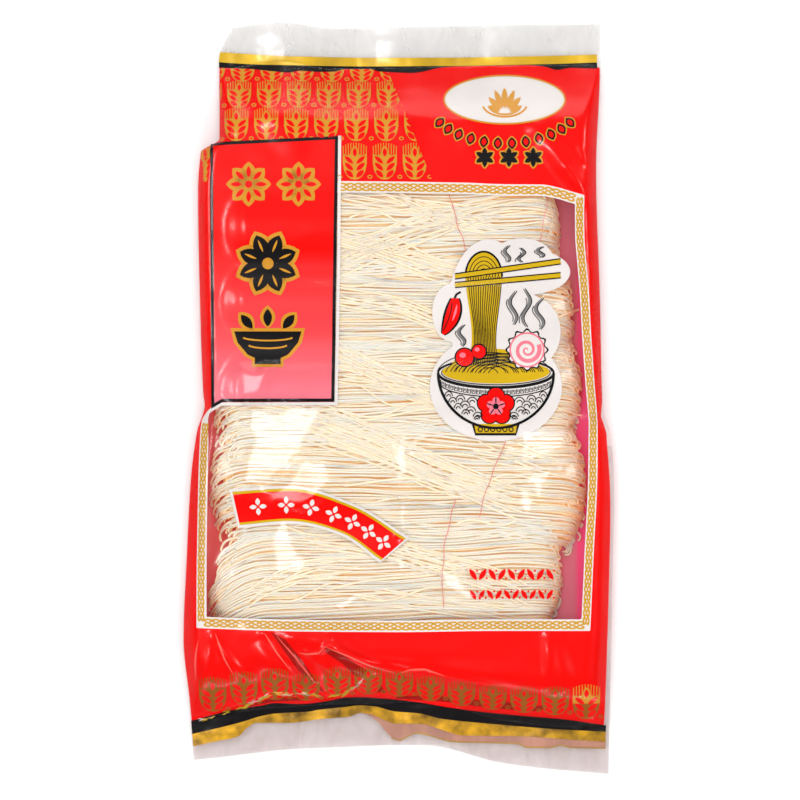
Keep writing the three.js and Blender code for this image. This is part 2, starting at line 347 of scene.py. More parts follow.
def front_height(x, y):
    """The printed front. Inside a facet's outline the film gives way to a tilted and slightly uneven plane.
    How far a point is inside is its distance from the nearest side of the outline."""
    z = free_front_height(x, y)
    ragged = (1.8 * noise(x, y, 10 * MM, 9 * MM, 31) + 0.7 * noise(x, y, 4 * MM, 4 * MM, 33)) * MM
    uneven = noise(x, y, 11 * MM, 9 * MM, 32) * 0.24 * MM
    for outline in FACETS:
        corners = np.array(outline) * MM
        inset = np.full_like(z, np.inf)
        for (x0, y0), (x1, y1) in zip(corners, np.roll(corners, -1, 0)):
            away = (y1 - y0) * (x - x0) - (x1 - x0) * (y - y0)
            inset = np.minimum(inset, away / math.hypot(x1 - x0, y1 - y0))
        cx, cy = corners.mean(0)
        middle = free_front_height(np.array([cx]), np.array([cy]))[0]
        slope = glare_slope(cx, cy)
        plane = middle + 0.2 * MM + slope[0] * (x - cx) + slope[1] * (y - cy) + uneven
        soft = np.clip(inset_of_middle(corners), 1.2 * MM, 4.6 * MM)
        z = z + (plane - z) * smoothstep(inset + ragged * soft / (3.0 * MM), -soft, 0.6 * soft)
    return z


def back_height(x, y):
    """The back: flat on the table, and curling up to the weld along every edge."""
    side, top, bottom = insets(x, y)
    nearest = least(side, top - sizes().top_weld, bottom - sizes().bottom_weld)
    return (seam_height(x, y) - sizes().film_gap / 2) * (1 - smoothstep(nearest, 0, UNDERSIDE_CURL))


def noodle_top(x, y):
    """Top of the noodles: the hanks a little wider than the film shows them, with the dips between them
    filled, and everywhere kept under the film."""
    hanks = [hank_height(h, x, y, widen=1.22) for h in HANKS]
    pile = joined(hanks + [hank_height(BETWEEN_HANKS, x, y)])
    return np.minimum(pile - 0.2 * MM, front_height(x, y) - 0.8 * MM)


# ---------------------------------------------------------------- the film's grid

GRID_COLUMNS, GRID_ROWS, CROWDING = 200, 350, 0.4


def crowded(share):
    """Moves grid lines closer together near both borders, where the film bends most."""
    return share + (0.5 - 0.5 * np.cos(math.pi * share) - share) * CROWDING


def footprint(u, v):
    """X and Y at share u across and v along. X lies between the two sides and Y between the two ends. Each
    edge is read at the same share of the straight line between its corners."""
    tl, tr, bl, br = (np.array(p) * MM for p in (TOP_LEFT, TOP_RIGHT, BOTTOM_LEFT, BOTTOM_RIGHT))
    y_left, y_right = bl[1] + (tl[1] - bl[1]) * v, br[1] + (tr[1] - br[1]) * v
    x_bottom, x_top = bl[0] + (br[0] - bl[0]) * u, tl[0] + (tr[0] - tl[0]) * u
    x = line_through(LEFT_EDGE, y_left) * (1 - u) + line_through(RIGHT_EDGE, y_right) * u
    y = line_through(BOTTOM_EDGE, x_bottom) * (1 - v) + line_through(TOP_EDGE, x_top) * v
    return x, y


@lru_cache(maxsize=1)
def front_grid():
    """X, Y and Z of the front film, row by row."""
    shares = (crowded(np.linspace(0, 1, count + 1)) for count in (GRID_COLUMNS, GRID_ROWS))
    x, y = footprint(*np.meshgrid(*shares))
    return x, y, front_height(x, y)


def film_height(x, y):
    """Height of the film's own facets at any place. Its place on the grid is first guessed from its shares
    between the edges, then mended five times by what footprint gives for the guess."""
    left, right = line_through(LEFT_EDGE, y), line_through(RIGHT_EDGE, y)
    foot, head = line_through(BOTTOM_EDGE, x), line_through(TOP_EDGE, x)
    u, v = (x - left) / (right - left), (y - foot) / (head - foot)
    for _ in range(5):
        px, py = footprint(u, v)
        u, v = u + (x - px) / (right - left), v + (y - py) / (head - foot)
    even = np.linspace(0, 1, 2001)
    column = np.interp(u, crowded(even), even) * GRID_COLUMNS
    row = np.interp(v, crowded(even), even) * GRID_ROWS
    c, r = np.clip(column.astype(int), 0, GRID_COLUMNS - 1), np.clip(row.astype(int), 0, GRID_ROWS - 1)
    fc, fr, z = column - c, row - r, front_grid()[2]
    near, far = (z[row, c] * (1 - fc) + z[row, c + 1] * fc for row in (r, r + 1))
    return near * (1 - fr) + far * fr


def under_front(x, y, depth):
    """A height this deep under the front film. Where the bag is thin the depth shrinks with it."""
    front = film_height(x, y)
    return front - depth * np.clip((front - back_height(x, y)) / (2 * MM), 0.17, 1)


def over_back(x, y, depth):
    """A height this far above the back film, shrunk in the same way."""
    back = back_height(x, y)
    return back + depth * np.clip((film_height(x, y) - back) / (2 * MM), 0.17, 1)


# ---------------------------------------------------------------- meshes from arrays

def grid_faces(rows, columns, wrap_rows=False, wrap_columns=False, copies=1):
    """Quads between neighbours of a grid of points stored row by row, for a number of such grids in
    turn."""
    r = np.arange(rows if wrap_rows else rows - 1)
    c = np.arange(columns if wrap_columns else columns - 1)
    r, c = np.meshgrid(r, c, indexing="ij")
    r1, c1 = (r + 1) % rows, (c + 1) % columns
    one = np.stack([r * columns + c, r * columns + c1, r1 * columns + c1, r1 * columns + c], -1)
    return (one.reshape(1, -1, 4) + np.arange(copies)[:, None, None] * rows * columns).reshape(-1, 4)


def triangles_of(quads):
    return np.concatenate([quads[:, [0, 1, 2]], quads[:, [0, 2, 3]]])


def new_piece(name, points, faces, material, slot):
    """Makes a smooth mesh object from points and faces, gives it its finish, and lets it ride on the
    pack."""
    mesh = bpy.data.meshes.new(name)
    points = np.asarray(points, np.float32).reshape(-1, 3)
    mesh.vertices.add(len(points))
    mesh.vertices.foreach_set("co", points.ravel())
    mesh.loops.add(faces.size)
    mesh.loops.foreach_set("vertex_index", faces.astype(np.int32).ravel())
    mesh.polygons.add(len(faces))
    mesh.polygons.foreach_set("loop_start", np.arange(0, faces.size, faces.shape[1], dtype=np.int32))
    mesh.polygons.foreach_set("use_smooth", np.full(len(faces), True))
    mesh.update(calc_edges=True)
    mesh.validate()
    piece = bpy.data.objects.new(name, mesh)
    bpy.context.scene.collection.objects.link(piece)
    mesh.materials.append(material)
    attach(piece, "root")
    return piece


def merged(parts):
    """Several (points, faces) pairs as one."""
    offsets = np.cumsum([0] + [len(p) for p, _ in parts[:-1]])
    return np.concatenate([p for p, _ in parts]), np.concatenate([f + o for (_, f), o in zip(parts, offsets)])


def cut(points, triangles, keep):
    """The part of the triangles where keep is positive. keep has one value a point and counts as linear
    across a triangle. A crossed triangle is cut along the straight line where keep is zero, and what is
    kept is one triangle or two. Cut points on an edge are shared by the triangles on both sides."""
    keep = np.where(np.abs(keep) < 1e-8, 1e-8, keep)
    inside = keep[triangles] > 0
    count = inside.sum(1)
    odd_one = np.where(count == 1, inside.argmax(1), (~inside).argmax(1))
    crossed = (count == 1) | (count == 2)
    turn = (odd_one[crossed, None] + np.arange(3)) % 3
    a, b, c = np.take_along_axis(triangles[crossed], turn, 1).T
    low, high = np.minimum(np.r_[a, a], np.r_[b, c]), np.maximum(np.r_[a, a], np.r_[b, c])
    edges, place = np.unique(low * len(points) + high, return_inverse=True)
    p, q = edges // len(points), edges % len(points)
    added = points[p] + (points[q] - points[p]) * (keep[p] / (keep[p] - keep[q]))[:, None]
    ab, ac = place.reshape(2, -1) + len(points)
    single = count[crossed] == 1
    faces = np.concatenate([triangles[count == 3], np.stack([a, ab, ac], 1)[single],
                            np.stack([ab, b, c], 1)[~single], np.stack([ab, c, ac], 1)[~single]])
    used, faces = np.unique(faces, return_inverse=True)
    return np.concatenate([points, added])[used], faces.reshape(-1, 3)


def refined(points, triangles, longest):
    """Halves every triangle across its longest side until no side is longer than this."""
    done = []
    while len(triangles):
        side = np.linalg.norm(points[np.roll(triangles, -1, 1)] - points[triangles], axis=2)
        long = side.max(1) > longest
        done.append(triangles[~long])
        turn = (side[long].argmax(1)[:, None] + np.arange(3)) % 3
        a, b, c = np.take_along_axis(triangles[long], turn, 1).T
        middle = len(points) + np.arange(len(a))
        points = np.concatenate([points, (points[a] + points[b]) / 2])
        triangles = np.concatenate([np.stack([a, middle, c], 1), np.stack([middle, b, c], 1)])
    return points, np.concatenate(done)


# ---------------------------------------------------------------- printed shapes, in millimetres

# Depths of the print's layers under the front film, and their heights over the back film.
PICTURE, STAMP, LINE, LABEL, BORDER, GROUND = (d * MM for d in (0.10, 0.17, 0.24, 0.32, 0.42, 0.52))
BACK_PRINT, BACK_LINER, BACK_EDGE = 0.12 * MM, 0.3 * MM, 0.36 * MM
# How far the red runs under the bands, and under the window's border.
UNDER_BANDS, UNDER_BORDER = 0.5 * MM, 0.4 * MM
# Longest side of a triangle in a flat shape that is laid on the film.
STAMP_STEP = 1.1 * MM
SLOT_INKS = {"film": ("red", "pink", "dark_red", "ridge"), "print_black": ("black", "grey"),
             "print_gold": ("gold", "ochre", "olive", "foil", "scroll", "yellow"), "print_white": ("white",)}
INK_SLOTS = {ink_name: slot for slot, inks in SLOT_INKS.items() for ink_name in inks}


def field_piece(name, ink_name, keep, depth, back=False, material=None):
    """A printed field: the film's grid where keep(x, y) is positive, a little under the front film or, for
    the back, over the back film. It has the film's own facets, so it can't come through the film."""
    x, y, _ = front_grid()
    z = over_back(x, y, depth) if back else under_front(x, y, depth)
    points = np.stack([x, y, z], -1).reshape(-1, 3)
    points, faces = cut(points, triangles_of(grid_faces(*x.shape)), keep(x, y).ravel())
    return new_piece(name, points, faces, material or ink(ink_name), INK_SLOTS[ink_name])


def stamp_piece(name, ink_name, shapes, depth, keep=None, back=False):
    """Lays flat shapes under the front film as one piece, cut to where keep(x, y) is positive."""
    points, faces = merged(shapes)
    corner = points[faces]
    following = np.roll(corner, -1, axis=1)
    area = (corner[..., 0] * following[..., 1] - following[..., 0] * corner[..., 1]).sum(1)
    faces = np.where((area < 0)[:, None], faces[:, ::-1], faces)
    points, faces = refined(points * MM, faces, STAMP_STEP)
    if keep is not None:
        points, faces = cut(points, faces, keep(points[:, 0], points[:, 1]))
    x, y = points.T
    z = over_back(x, y, depth) if back else under_front(x, y, depth)
    return new_piece(name, np.column_stack([points, z]), faces, ink(ink_name), INK_SLOTS[ink_name])


def ribbon(paths, width):
    """Flat bands along one or more paths of equally many points: each point is moved half the width to both
    sides. width is one number, or one for each point."""
    paths = np.array(paths, float)
    paths = paths.reshape(-1, *paths.shape[-2:])
    ahead = np.gradient(paths, axis=1)
    ahead /= np.maximum(np.linalg.norm(ahead, axis=-1, keepdims=True), 1e-9)
    half = np.broadcast_to(width, paths.shape[:2])[..., None] / 2
    aside = np.stack([-ahead[..., 1], ahead[..., 0]], -1) * half
    points = np.stack([paths - aside, paths + aside], 2)
    return points.reshape(-1, 2), triangles_of(grid_faces(paths.shape[1], 2, copies=len(paths)))


def frame_line(corners, width):
    """A line of even width round a closed outline, with mitred corners."""
    corners = np.array(corners, float)
    before, after = corners - np.roll(corners, 1, 0), np.roll(corners, -1, 0) - corners
    before /= np.linalg.norm(before, axis=1, keepdims=True)
    after /= np.linalg.norm(after, axis=1, keepdims=True)
    mitre = np.stack([-(before + after)[:, 1], (before + after)[:, 0]], 1)
    mitre /= (mitre * np.stack([-before[:, 1], before[:, 0]], 1)).sum(1, keepdims=True)
    points = np.stack([corners - mitre * width / 2, corners + mitre * width / 2], 1)
    return points.reshape(-1, 2), triangles_of(grid_faces(len(corners), 2, wrap_rows=True))


def blob(outline):
    """A filled outline, as a fan of triangles round its middle."""
    outline = np.array(outline, float)
    ring_of = np.arange(len(outline))
    fan = np.stack([np.full(len(outline), len(outline)), ring_of, np.roll(ring_of, -1)], 1)
    return np.concatenate([outline, outline.mean(0, keepdims=True)]), fan


def leaf(start, end, width, steps=9):
    """A pointed leaf: a ribbon from start to end whose width is half a sine wave."""
    t = np.linspace(0, 1, steps)
    path = np.array(start, float) + np.subtract(end, start) * t[:, None]
    return ribbon(path, np.maximum(width * np.sin(math.pi * t) ** 0.8, 0.02))


def points_along(line, at, place):
    """Points of a broken line whose corners stand at the places in at."""
    line = np.asarray(line)
    return np.stack([np.interp(place, at, line[:, k]) for k in (0, 1)], -1)


def on_circle(angle):
    """Points at these angles on a circle round the origin, one unit out."""
    return np.stack([np.cos(angle), np.sin(angle)], -1)


def disc(cx, cy, a, b, start=0.0, stop=2 * math.pi, spokes=30):
    """A filled ellipse, or the part of one between two angles and its chord."""
    angle = np.linspace(start, stop, spokes, endpoint=stop - start < 2 * math.pi)
    return blob(on_circle(angle) * (a, b) + (cx, cy))


def dot(x, y, radius, spokes=30):
    return disc(x, y, radius, radius, spokes=spokes)


def ring(cx, cy, a, b, width, start=0.0, stop=2 * math.pi, spokes=40):
    """A line of the given width round an ellipse, or along an arc of it."""
    angle = np.linspace(start, stop, spokes + 1)
    return ribbon(on_circle(angle) * (a, b) + (cx, cy), width)


def sagging_arc(cx, cy, a, b, width):
    """A line along the lower part of an ellipse."""
    return ring(cx, cy, a, b, width, start=math.pi * 1.08, stop=math.pi * 1.92)


def mirrored(side):
    """An outline from the points of its right side, from the top down."""
    return [(-x, y) for x, y in side] + list(side[::-1])


def placed(shape, x, y, turn=0.0):
    """A shape turned and moved."""
    points, faces = shape
    cos, sin = math.cos(turn), math.sin(turn)
    return points @ np.array([[cos, sin], [-sin, cos]]) + (x, y), faces


def flower(x, y, petals, near, far, width, turn=0.0):
    """Leaves set evenly round a middle. Each runs from near the middle to far from it."""
    petal = leaf((0, near), (0, far), width)
    return [placed(petal, x, y, turn + k * 2 * math.pi / petals) for k in range(petals)]


def band(upper, lower, steps=300):
    """The area between two lines over X, each given by its knots, and held inside the bag."""
    x = np.repeat(np.linspace(upper[0][0], upper[-1][0], steps)[:, None], 5, 1) * MM
    drop = np.linspace(0, 1, x.shape[1])
    y = line_through(upper, x) * (1 - drop) + line_through(lower, x) * drop
    x = np.clip(x, line_through(LEFT_EDGE, y) + 0.3 * MM, line_through(RIGHT_EDGE, y) - BAND_MARGIN * MM)
    return np.stack([x, y], -1).reshape(-1, 2) / MM, triangles_of(grid_faces(*x.shape))


def ellipse(cx, cy, a, b, x, y):
    """Roughly how far a point is inside an ellipse given in millimetres."""
    return (1 - np.hypot((x / MM - cx) / a, (y / MM - cy) / b)) * min(a, b) * MM


# Where the bands lie: Y for each X. Each line is the upper one of its band. The bands stop short of the
# bag's right edge by their margin.
BAND_MARGIN = 1.6
TOP_GOLD = [(-78, 145.3), (-41, 143.2), (1, 142.7), (43, 143.1), (88, 144.2)]
TOP_BLACK = [(-78, 141.4), (-73, 140.7), (-45, 139.5), (1, 139.1), (17, 139.3), (43, 139.6), (88, 140.9)]
TOP_RED = [(-78, 138.6), (-62, 138.0), (-56, 137.3), (-45.6, 136.3), (-41.4, 137.1), (-33, 136.7),
           (-27, 136.9), (-22, 138.0), (-12, 138.0), (-8, 136.9), (0.6, 136.4), (5, 136.2), (9, 136.6),
           (17.4, 138.5), (24, 139.1), (34, 139.3), (55, 139.5), (61.5, 138.9), (66.6, 137.6),
           (72, 138.5), (78, 138.3), (88, 138.0)]
FOOT_BLACK = [(-90, -136.2), (-66.6, -130.2), (-57.3, -128.9), (-51.9, -127.9), (-41.4, -128.3),
              (-28.8, -126.8), (-22.5, -125.5), (-16.2, -125.3), (-7.8, -125.8), (9, -127.7),
              (21.6, -129.8), (34.2, -131.5), (51, -133.1), (67.8, -134.4), (90, -137.8)]
FOOT_GOLD = [(-90, -141.8), (-66.6, -136.1), (-57.3, -133.4), (-51.9, -132.4), (-37.2, -131.5),
             (-33.8, -130.8), (-22.5, -129.6), (-16.2, -128.9), (-9.9, -129.4), (-1.5, -131.5),
             (9, -132.3), (17.4, -134.4), (34.2, -136.3), (51, -137.8), (67.8, -139.0), (90, -140.2)]
FOOT_END = [(-90, -147.0), (-77, -144.1), (-67, -141.8), (-63.6, -138.4), (-59.6, -136.3),
            (-46.8, -136.3), (-30.7, -134.4), (-21, -133.7), (-15.9, -132.1), (-12.6, -132.4),
            (-6.2, -135.0), (-1.7, -136.6), (9, -136.7), (19.2, -139.5), (27, -141.6), (43.7, -141.8),
            (56.5, -142.1), (69.4, -143.1), (90, -144.6)]
BACK_FOOT_END = [(-90, -144), (-66, -139), (-59.6, -135.5), (-30, -133.5), (-16.5, -131.9), (-9, -135.6),
                 (-3, -142.2), (0.3, -143.3), (4, -141.6), (7.7, -140.2), (11.6, -140.8), (23, -143.7),
                 (34, -144.1), (50, -144.7), (54, -146.2), (63, -146.2), (68, -145.3), (72.6, -146.2),
                 (90, -146.6)]

# The outer edge of the window's border, and its width at the sides as a share of its width at the top.
WINDOW_TOP = [(-90, 90.2), (-27, 90.3), (25.8, 89.7), (45, 89.0), (59.5, 88.9), (66, 87.8), (71, 86.3),
              (80, 83.7)]
WINDOW_FOOT = [(-90, -95.6), (-40, -97.2), (0, -97.5), (40, -97), (90, -97)]
WINDOW_LEFT = [(-100, -84.2), (-84.4, -84.2), (-39.5, -83.6), (-16, -82.9), (-9.5, -82.2), (-6, -80.2),
               (-3, -77.4), (0, -76.8)]
WINDOW_RIGHT = [(-100, 79.7), (-94, 80.0), (-65, 81.3), (-32.8, 82.8), (-12, 83.0), (6, 81.7), (26, 80.3),
                (44, 79.3), (56, 78.3), (68, 77.4), (77, 77.3), (92, 77.5)]
RIGHT_BORDER_SHARE = 0.8
LEFT_BORDER_SHARE = [(-100, 0.9), (-20, 0.8), (-10, 0.6), (-5, 0.3), (0, 0.25)]
# The edges of the label.
LABEL_TOP = [(-90, 105.2), (-77.5, 105.8), (-25, 108.4)]
LABEL_FOOT = [(-90, -4.2), (-77.4, -3.6), (-73.3, -1.0), (-24, -0.9)]
LABEL_LEFT = [(-10, -77.4), (0, -77.2), (40, -77.6), (110, -77.9)]
LABEL_RIGHT = [(-10, -27.3), (0, -27.3), (110, -25.8)]
# The oval panel: its middle, and its reach along X and Y.
OVAL = (44.3, 124.6, 25.2, 10.4)
# Width of the clear margin along the right side, for each Y.
RED_SIDE_MARGIN = [(-158, 3.0), (-120, 2.2), (-60, 1.6), (-20, 2.4), (-9, 1.6), (0, 0.5), (157, 0.5)]


def window_inset(x, y):
    """How far a point lies inside the window's border. On the steep right side and up the left side a step
    counts for more, so the border is narrower there."""
    right = (line_through(WINDOW_RIGHT, y) - x) / RIGHT_BORDER_SHARE
    down = np.minimum(line_through(WINDOW_TOP, x) - y, y - line_through(WINDOW_FOOT, x))
    left = (x - line_through(WINDOW_LEFT, y)) / line_through(LEFT_BORDER_SHARE, y) * MM
    return least(down, left, right)


def on_label(x, y):
    """How far a point lies inside the label."""
    return least(line_through(LABEL_TOP, x) - y, y - line_through(LABEL_FOOT, x),
                 x - line_through(LABEL_LEFT, y), line_through(LABEL_RIGHT, y) - x)


def behind_label(x, y):
    """Positive in the quarter of the window that the label covers."""
    return np.minimum(-27 * MM - x, y + 3 * MM)


def inside_margins(x, y):
    """How far a point lies inside the clear margins at both sides."""
    right = line_through(RIGHT_EDGE, y) - x - line_through(RED_SIDE_MARGIN, y)
    return np.minimum(x - line_through(LEFT_EDGE, y) - 0.5 * MM, right)


def red_ground(x, y):
    """Positive on the red: inside the bands and the margins, and outside the window."""
    down = np.minimum(line_through(TOP_RED, x) - y, y - line_through(FOOT_BLACK, x)) + UNDER_BANDS
    around = np.maximum(UNDER_BORDER - window_inset(x, y), behind_label(x, y))
    return least(inside_margins(x, y), down, around)


# ---------------------------------------------------------------- finishes

def new_material(name, **sockets):
    """A material with one Principled shader, whose sockets are set by name with underscores for spaces."""
    material = bpy.data.materials.new(name)
    material.use_nodes = True
    shader = material.node_tree.nodes["Principled BSDF"]
    for socket, value in sockets.items():
        shader.inputs[socket.replace("_", " ")].default_value = value
    return material, material.node_tree, shader


def rgba(value):
    return (*value, 1.0)


def new_node(tree, kind, sockets, **settings):
    """A shader node with these settings. A socket gets a value, or a link where it is given an output."""
    node = tree.nodes.new("ShaderNode" + kind)
    for name, value in settings.items():
        setattr(node, name, value)
    for socket, value in sockets.items():
        if isinstance(value, bpy.types.NodeSocket):
            tree.links.new(value, node.inputs[socket])
        else:
            node.inputs[socket].default_value = value
    return node


def object_place(tree):
    return tree.nodes.new("ShaderNodeTexCoord").outputs["Object"]


def ramp(tree, factor, stops):
    """A colour ramp with these (position, colour) stops, read at the factor."""
    node = new_node(tree, "ValToRGB", {"Fac": factor})
    elements = node.color_ramp.elements
    while len(elements) < len(stops):
        elements.new(0.5)
    for element, (position, value) in zip(elements, stops):
        element.position = position
        element.color = rgba(value)
    return node.outputs["Color"]


def along_axis(tree, axis, low, high, stops):
    """Colours that change along one axis of the object, from low to high in millimetres."""
    split = new_node(tree, "SeparateXYZ", {"Vector": object_place(tree)})
    span = new_node(tree, "MapRange", {"Value": split.outputs[axis], "From Min": low * MM,
                                       "From Max": high * MM})
    return ramp(tree, span.outputs["Result"], stops)


def mottled(tree, value, scale, amount):
    """A colour that drifts a little lighter and darker with soft noise on object coordinates."""
    cloud = new_node(tree, "TexNoise", {"Vector": object_place(tree), "Scale": scale, "Detail": 3})
    darker, lighter = [c * (1 - amount) for c in value], [min(c * (1 + amount), 1) for c in value]
    return ramp(tree, cloud.outputs["Fac"], ((0.3, darker), (0.7, lighter)))


@lru_cache(maxsize=None)
def ink(name):
    """Printing ink under the film, nearly even, except the foil gold, whose strong mottle is painted light
    and shade of its crumples. The film gives the gloss, and gold has some of its own.
    """
    metal = {"gold": 0.25, "foil": 0.3}.get(name, 0.0)
    roughness, gloss = (0.4, 0.3) if metal else (0.6, 0.0)
    material, tree, shader = new_material(
        f"{name}_ink", Roughness=roughness, Metallic=metal, Specular_IOR_Level=gloss)
    # Painted light and shade: the foil gold's strong mottle stands for the crumples of the band catching
    # light.
    scale, amount = {"gold": (90, 0.2), "foil": (150, 0.75)}.get(name, (35, 0.04))
    tone = mottled(tree, getattr(colours(), name), scale, amount)
    tree.links.new(tone, shader.inputs["Base Color"])
    return material


@lru_cache(maxsize=None)
def label_ink():
    """Label ink: red at its top, fading to pink towards its foot."""
    material, tree, shader = new_material("label_ink", Roughness=0.6, Specular_IOR_Level=0.0)
    red, pink = colours().red, colours().pink
    stops = ((0.0, red), (0.42, red), (0.74, (0.80, 0.065, 0.075)), (1.0, pink))
    tree.links.new(along_axis(tree, "Y", 108, -2, stops), shader.inputs["Base Color"])
    return material


@lru_cache(maxsize=None)
def liner_ink():
    """Inside of the printed back: dusty rose, with a bright pink stripe along the right."""
    material, tree, shader = new_material("liner_ink", Roughness=0.7, Specular_IOR_Level=0.0)
    stops = ((0.0, (0.90, 0.12, 0.13)), (0.3, (0.85, 0.30, 0.28)), (0.935, (0.72, 0.19, 0.26)),
             (0.945, (0.95, 0.09, 0.25)), (1.0, (0.95, 0.12, 0.30)))
    tree.links.new(along_axis(tree, "X", -85, 85, stops), shader.inputs["Base Color"])
    return material


@lru_cache(maxsize=None)
def brown_ink():
    """Inside of the back's gold band, dull and brownish."""
    material, tree, shader = new_material("brown_ink", Roughness=0.6, Specular_IOR_Level=0.2)
    tree.links.new(mottled(tree, (0.62, 0.30, 0.18), 60, 0.3), shader.inputs["Base Color"])
    return material


@lru_cache(maxsize=None)
def clear_film():
    """Clear polypropylene: light goes straight through, and a gloss on top, half sharp and half hazy, grows
    towards grazing angles with the fifth power of one less the cosine, the same from both sides."""
    material, tree, shader = new_material("clear_film")
    tree.nodes.remove(shader)
    crinkle = new_node(tree, "TexNoise", {"Vector": object_place(tree), "Scale": 240, "Detail": 2})
    bump = new_node(tree, "Bump", {"Height": crinkle.outputs["Fac"], "Strength": 0.15, "Distance": 0.2 * MM})
    sharp, hazy = (new_node(tree, "BsdfGlossy", {"Color": (0.7, 0.7, 0.7, 1), "Roughness": roughness,
                                                 "Normal": bump.outputs["Normal"]}).outputs["BSDF"]
                   for roughness in (0.15, 0.38))
    gloss = new_node(tree, "MixShader", {1: sharp, 2: hazy})
    facing = new_node(tree, "LayerWeight", {"Blend": 0.5})
    power = new_node(tree, "Math", {0: facing.outputs["Facing"], 1: 5}, operation="POWER")
    share = new_node(tree, "Math", {0: power.outputs["Value"], 1: 0.2, 2: 0.022}, operation="MULTIPLY_ADD")
    through = new_node(tree, "BsdfTransparent", {"Color": (0.985, 0.983, 0.980, 1)})
    mix = new_node(tree, "MixShader", {"Fac": share.outputs["Value"], 1: through.outputs["BSDF"],
                                       2: gloss.outputs["Shader"]})
    tree.links.new(mix.outputs["Shader"], tree.nodes["Material Output"].inputs["Surface"])
    return material


@lru_cache(maxsize=None)
def weld_haze():
    """Haze of the two films where they are pressed together: mostly clear, with some scatter that is pale
    at the head and rosy at the foot, and streaked along the pack."""
    material, tree, shader = new_material("weld_haze", Roughness=0.5)
    stops = ((0.0, (0.36, 0.18, 0.17)), (0.3, (0.5, 0.4, 0.38)), (1.0, (0.57, 0.55, 0.53)))
    tree.links.new(along_axis(tree, "Y", -150, 150, stops), shader.inputs["Base Color"])
    stretch = new_node(tree, "VectorMath", {0: object_place(tree), 1: (120, 50, 50)}, operation="MULTIPLY")
    cloud = new_node(tree, "TexNoise", {"Vector": stretch.outputs["Vector"], "Scale": 1, "Distortion": 1.5})
    dense = new_node(tree, "MapRange", {"Value": cloud.outputs["Fac"], "From Min": 0.3, "From Max": 0.7,
                                        "To Min": 0.29, "To Max": 0.39})
    tree.links.new(dense.outputs["Result"], shader.inputs["Alpha"])
    return material


@lru_cache(maxsize=None)
def dough():
    """Dry noodle: cream on top of a hank, with a painted ochre shade deep in it and at the rim of each
    strand; a painted salmon light where the red print lights it; each strand a little different in tone. Deep
    in the pile a weak ochre glow, painted light from a part that is no lamp, stands for the light that many
    translucent strands pass on."""
    material, tree, shader = new_material(
        "dough", Roughness=0.65, Specular_IOR_Level=0.2, Subsurface_Weight=0.5, Subsurface_Scale=1.2 * MM,
        Subsurface_Radius=(1.0, 0.62, 0.34), Emission_Strength=1.0)
    # The glow is far too weak to light anything, so it isn't sampled as a lamp.
    material.cycles.emission_sampling = "NONE"

    def read(name):
        return new_node(tree, "Attribute", {}, attribute_name=name).outputs["Fac"]
    # Painted light: an ochre glow that grows with depth in the pile.
    glow = ((0.0, (0.0, 0.0, 0.0)), (0.4, (0.092, 0.038, 0.003)), (1.0, (0.135, 0.052, 0.004)))
    tree.links.new(ramp(tree, read("deep"), glow), shader.inputs["Emission Color"])
    # Painted shade: ochre at the rim of each strand and deep in the pile. Painted red light from the print
    # turns the noodles near it salmon. The tone differs at random from strand to strand.
    rim = new_node(tree, "LayerWeight", {"Blend": 0.3}).outputs["Facing"]
    tints = [ramp(tree, factor, ((0, low), (1, high))) for factor, low, high in (
        (rim, (1, 1, 1), (1.0, 0.85, 0.64)),
        (read("deep"), colours().dough, colours().deep_dough_shade),
        (read("tone"), (0.96, 0.94, 0.90), (1, 1, 1)),
        (read("warm"), (1, 1, 1), (1.0, 0.78, 0.68)))]
    product = tints[0]
    for tint in tints[1:]:
        product = new_node(tree, "Mix", {"Factor": 1.0, 6: product, 7: tint},
                           data_type="RGBA", blend_type="MULTIPLY").outputs[2]
    tree.links.new(product, shader.inputs["Base Color"])
    return material


@lru_cache(maxsize=None)
def thread_yarn():
    """Thin twisted thread: red, with the twist as fine slanting bumps."""
    material, tree, shader = new_material("thread_yarn", Roughness=0.8, Base_Color=rgba(colours().thread))
    twist = new_node(tree, "TexWave", {"Vector": object_place(tree), "Scale": 900},
                     bands_direction="DIAGONAL")
    bump = new_node(tree, "Bump", {"Height": twist.outputs["Fac"], "Strength": 0.5, "Distance": 0.1 * MM})
    tree.links.new(bump.outputs["Normal"], shader.inputs["Normal"])
    return material


# ---------------------------------------------------------------- film and print

class PACK_OT_film(Operator):
    """Front film and back film, welded along their edges"""
    bl_idname = "pack.film"
    bl_label = "Clear film"

    def execute(self, context):
        x, y, z = front_grid()
        front = new_piece("film_front", np.stack([x, y, z], -1), triangles_of(grid_faces(*x.shape)),
                          clear_film(), "clear_film")
        x, y = x[::5, ::4], y[::5, ::4]
        back = new_piece("film_back", np.stack([x, y, back_height(x, y)], -1), grid_faces(*x.shape)[:, ::-1],
                         clear_film(), "clear_film")
        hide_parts("bag")
        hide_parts("bag")
        return {"FINISHED"}


class PACK_OT_weld_haze(Operator):
    """Hazy sheet between the films wherever they are welded and bare of print"""
    bl_idname = "pack.weld_haze"
    bl_label = "Weld haze"

    def execute(self, context):
        def welded(x, y):
            side, top, bottom = insets(x, y)
            bare = np.maximum(y - line_through(TOP_GOLD, x), line_through(FOOT_END, x) - y)
            margin = np.minimum(x - line_through(RIGHT_EDGE, y) + line_through(RED_SIDE_MARGIN, y) - 0.1 * MM,
                                -20 * MM - y)
            return np.minimum(np.maximum(bare, margin), least(side, top, bottom) - 0.2 * MM)
        field_piece("weld_haze", "white", welded, sizes().film_gap * 2.5, material=weld_haze())
        return {"FINISHED"}


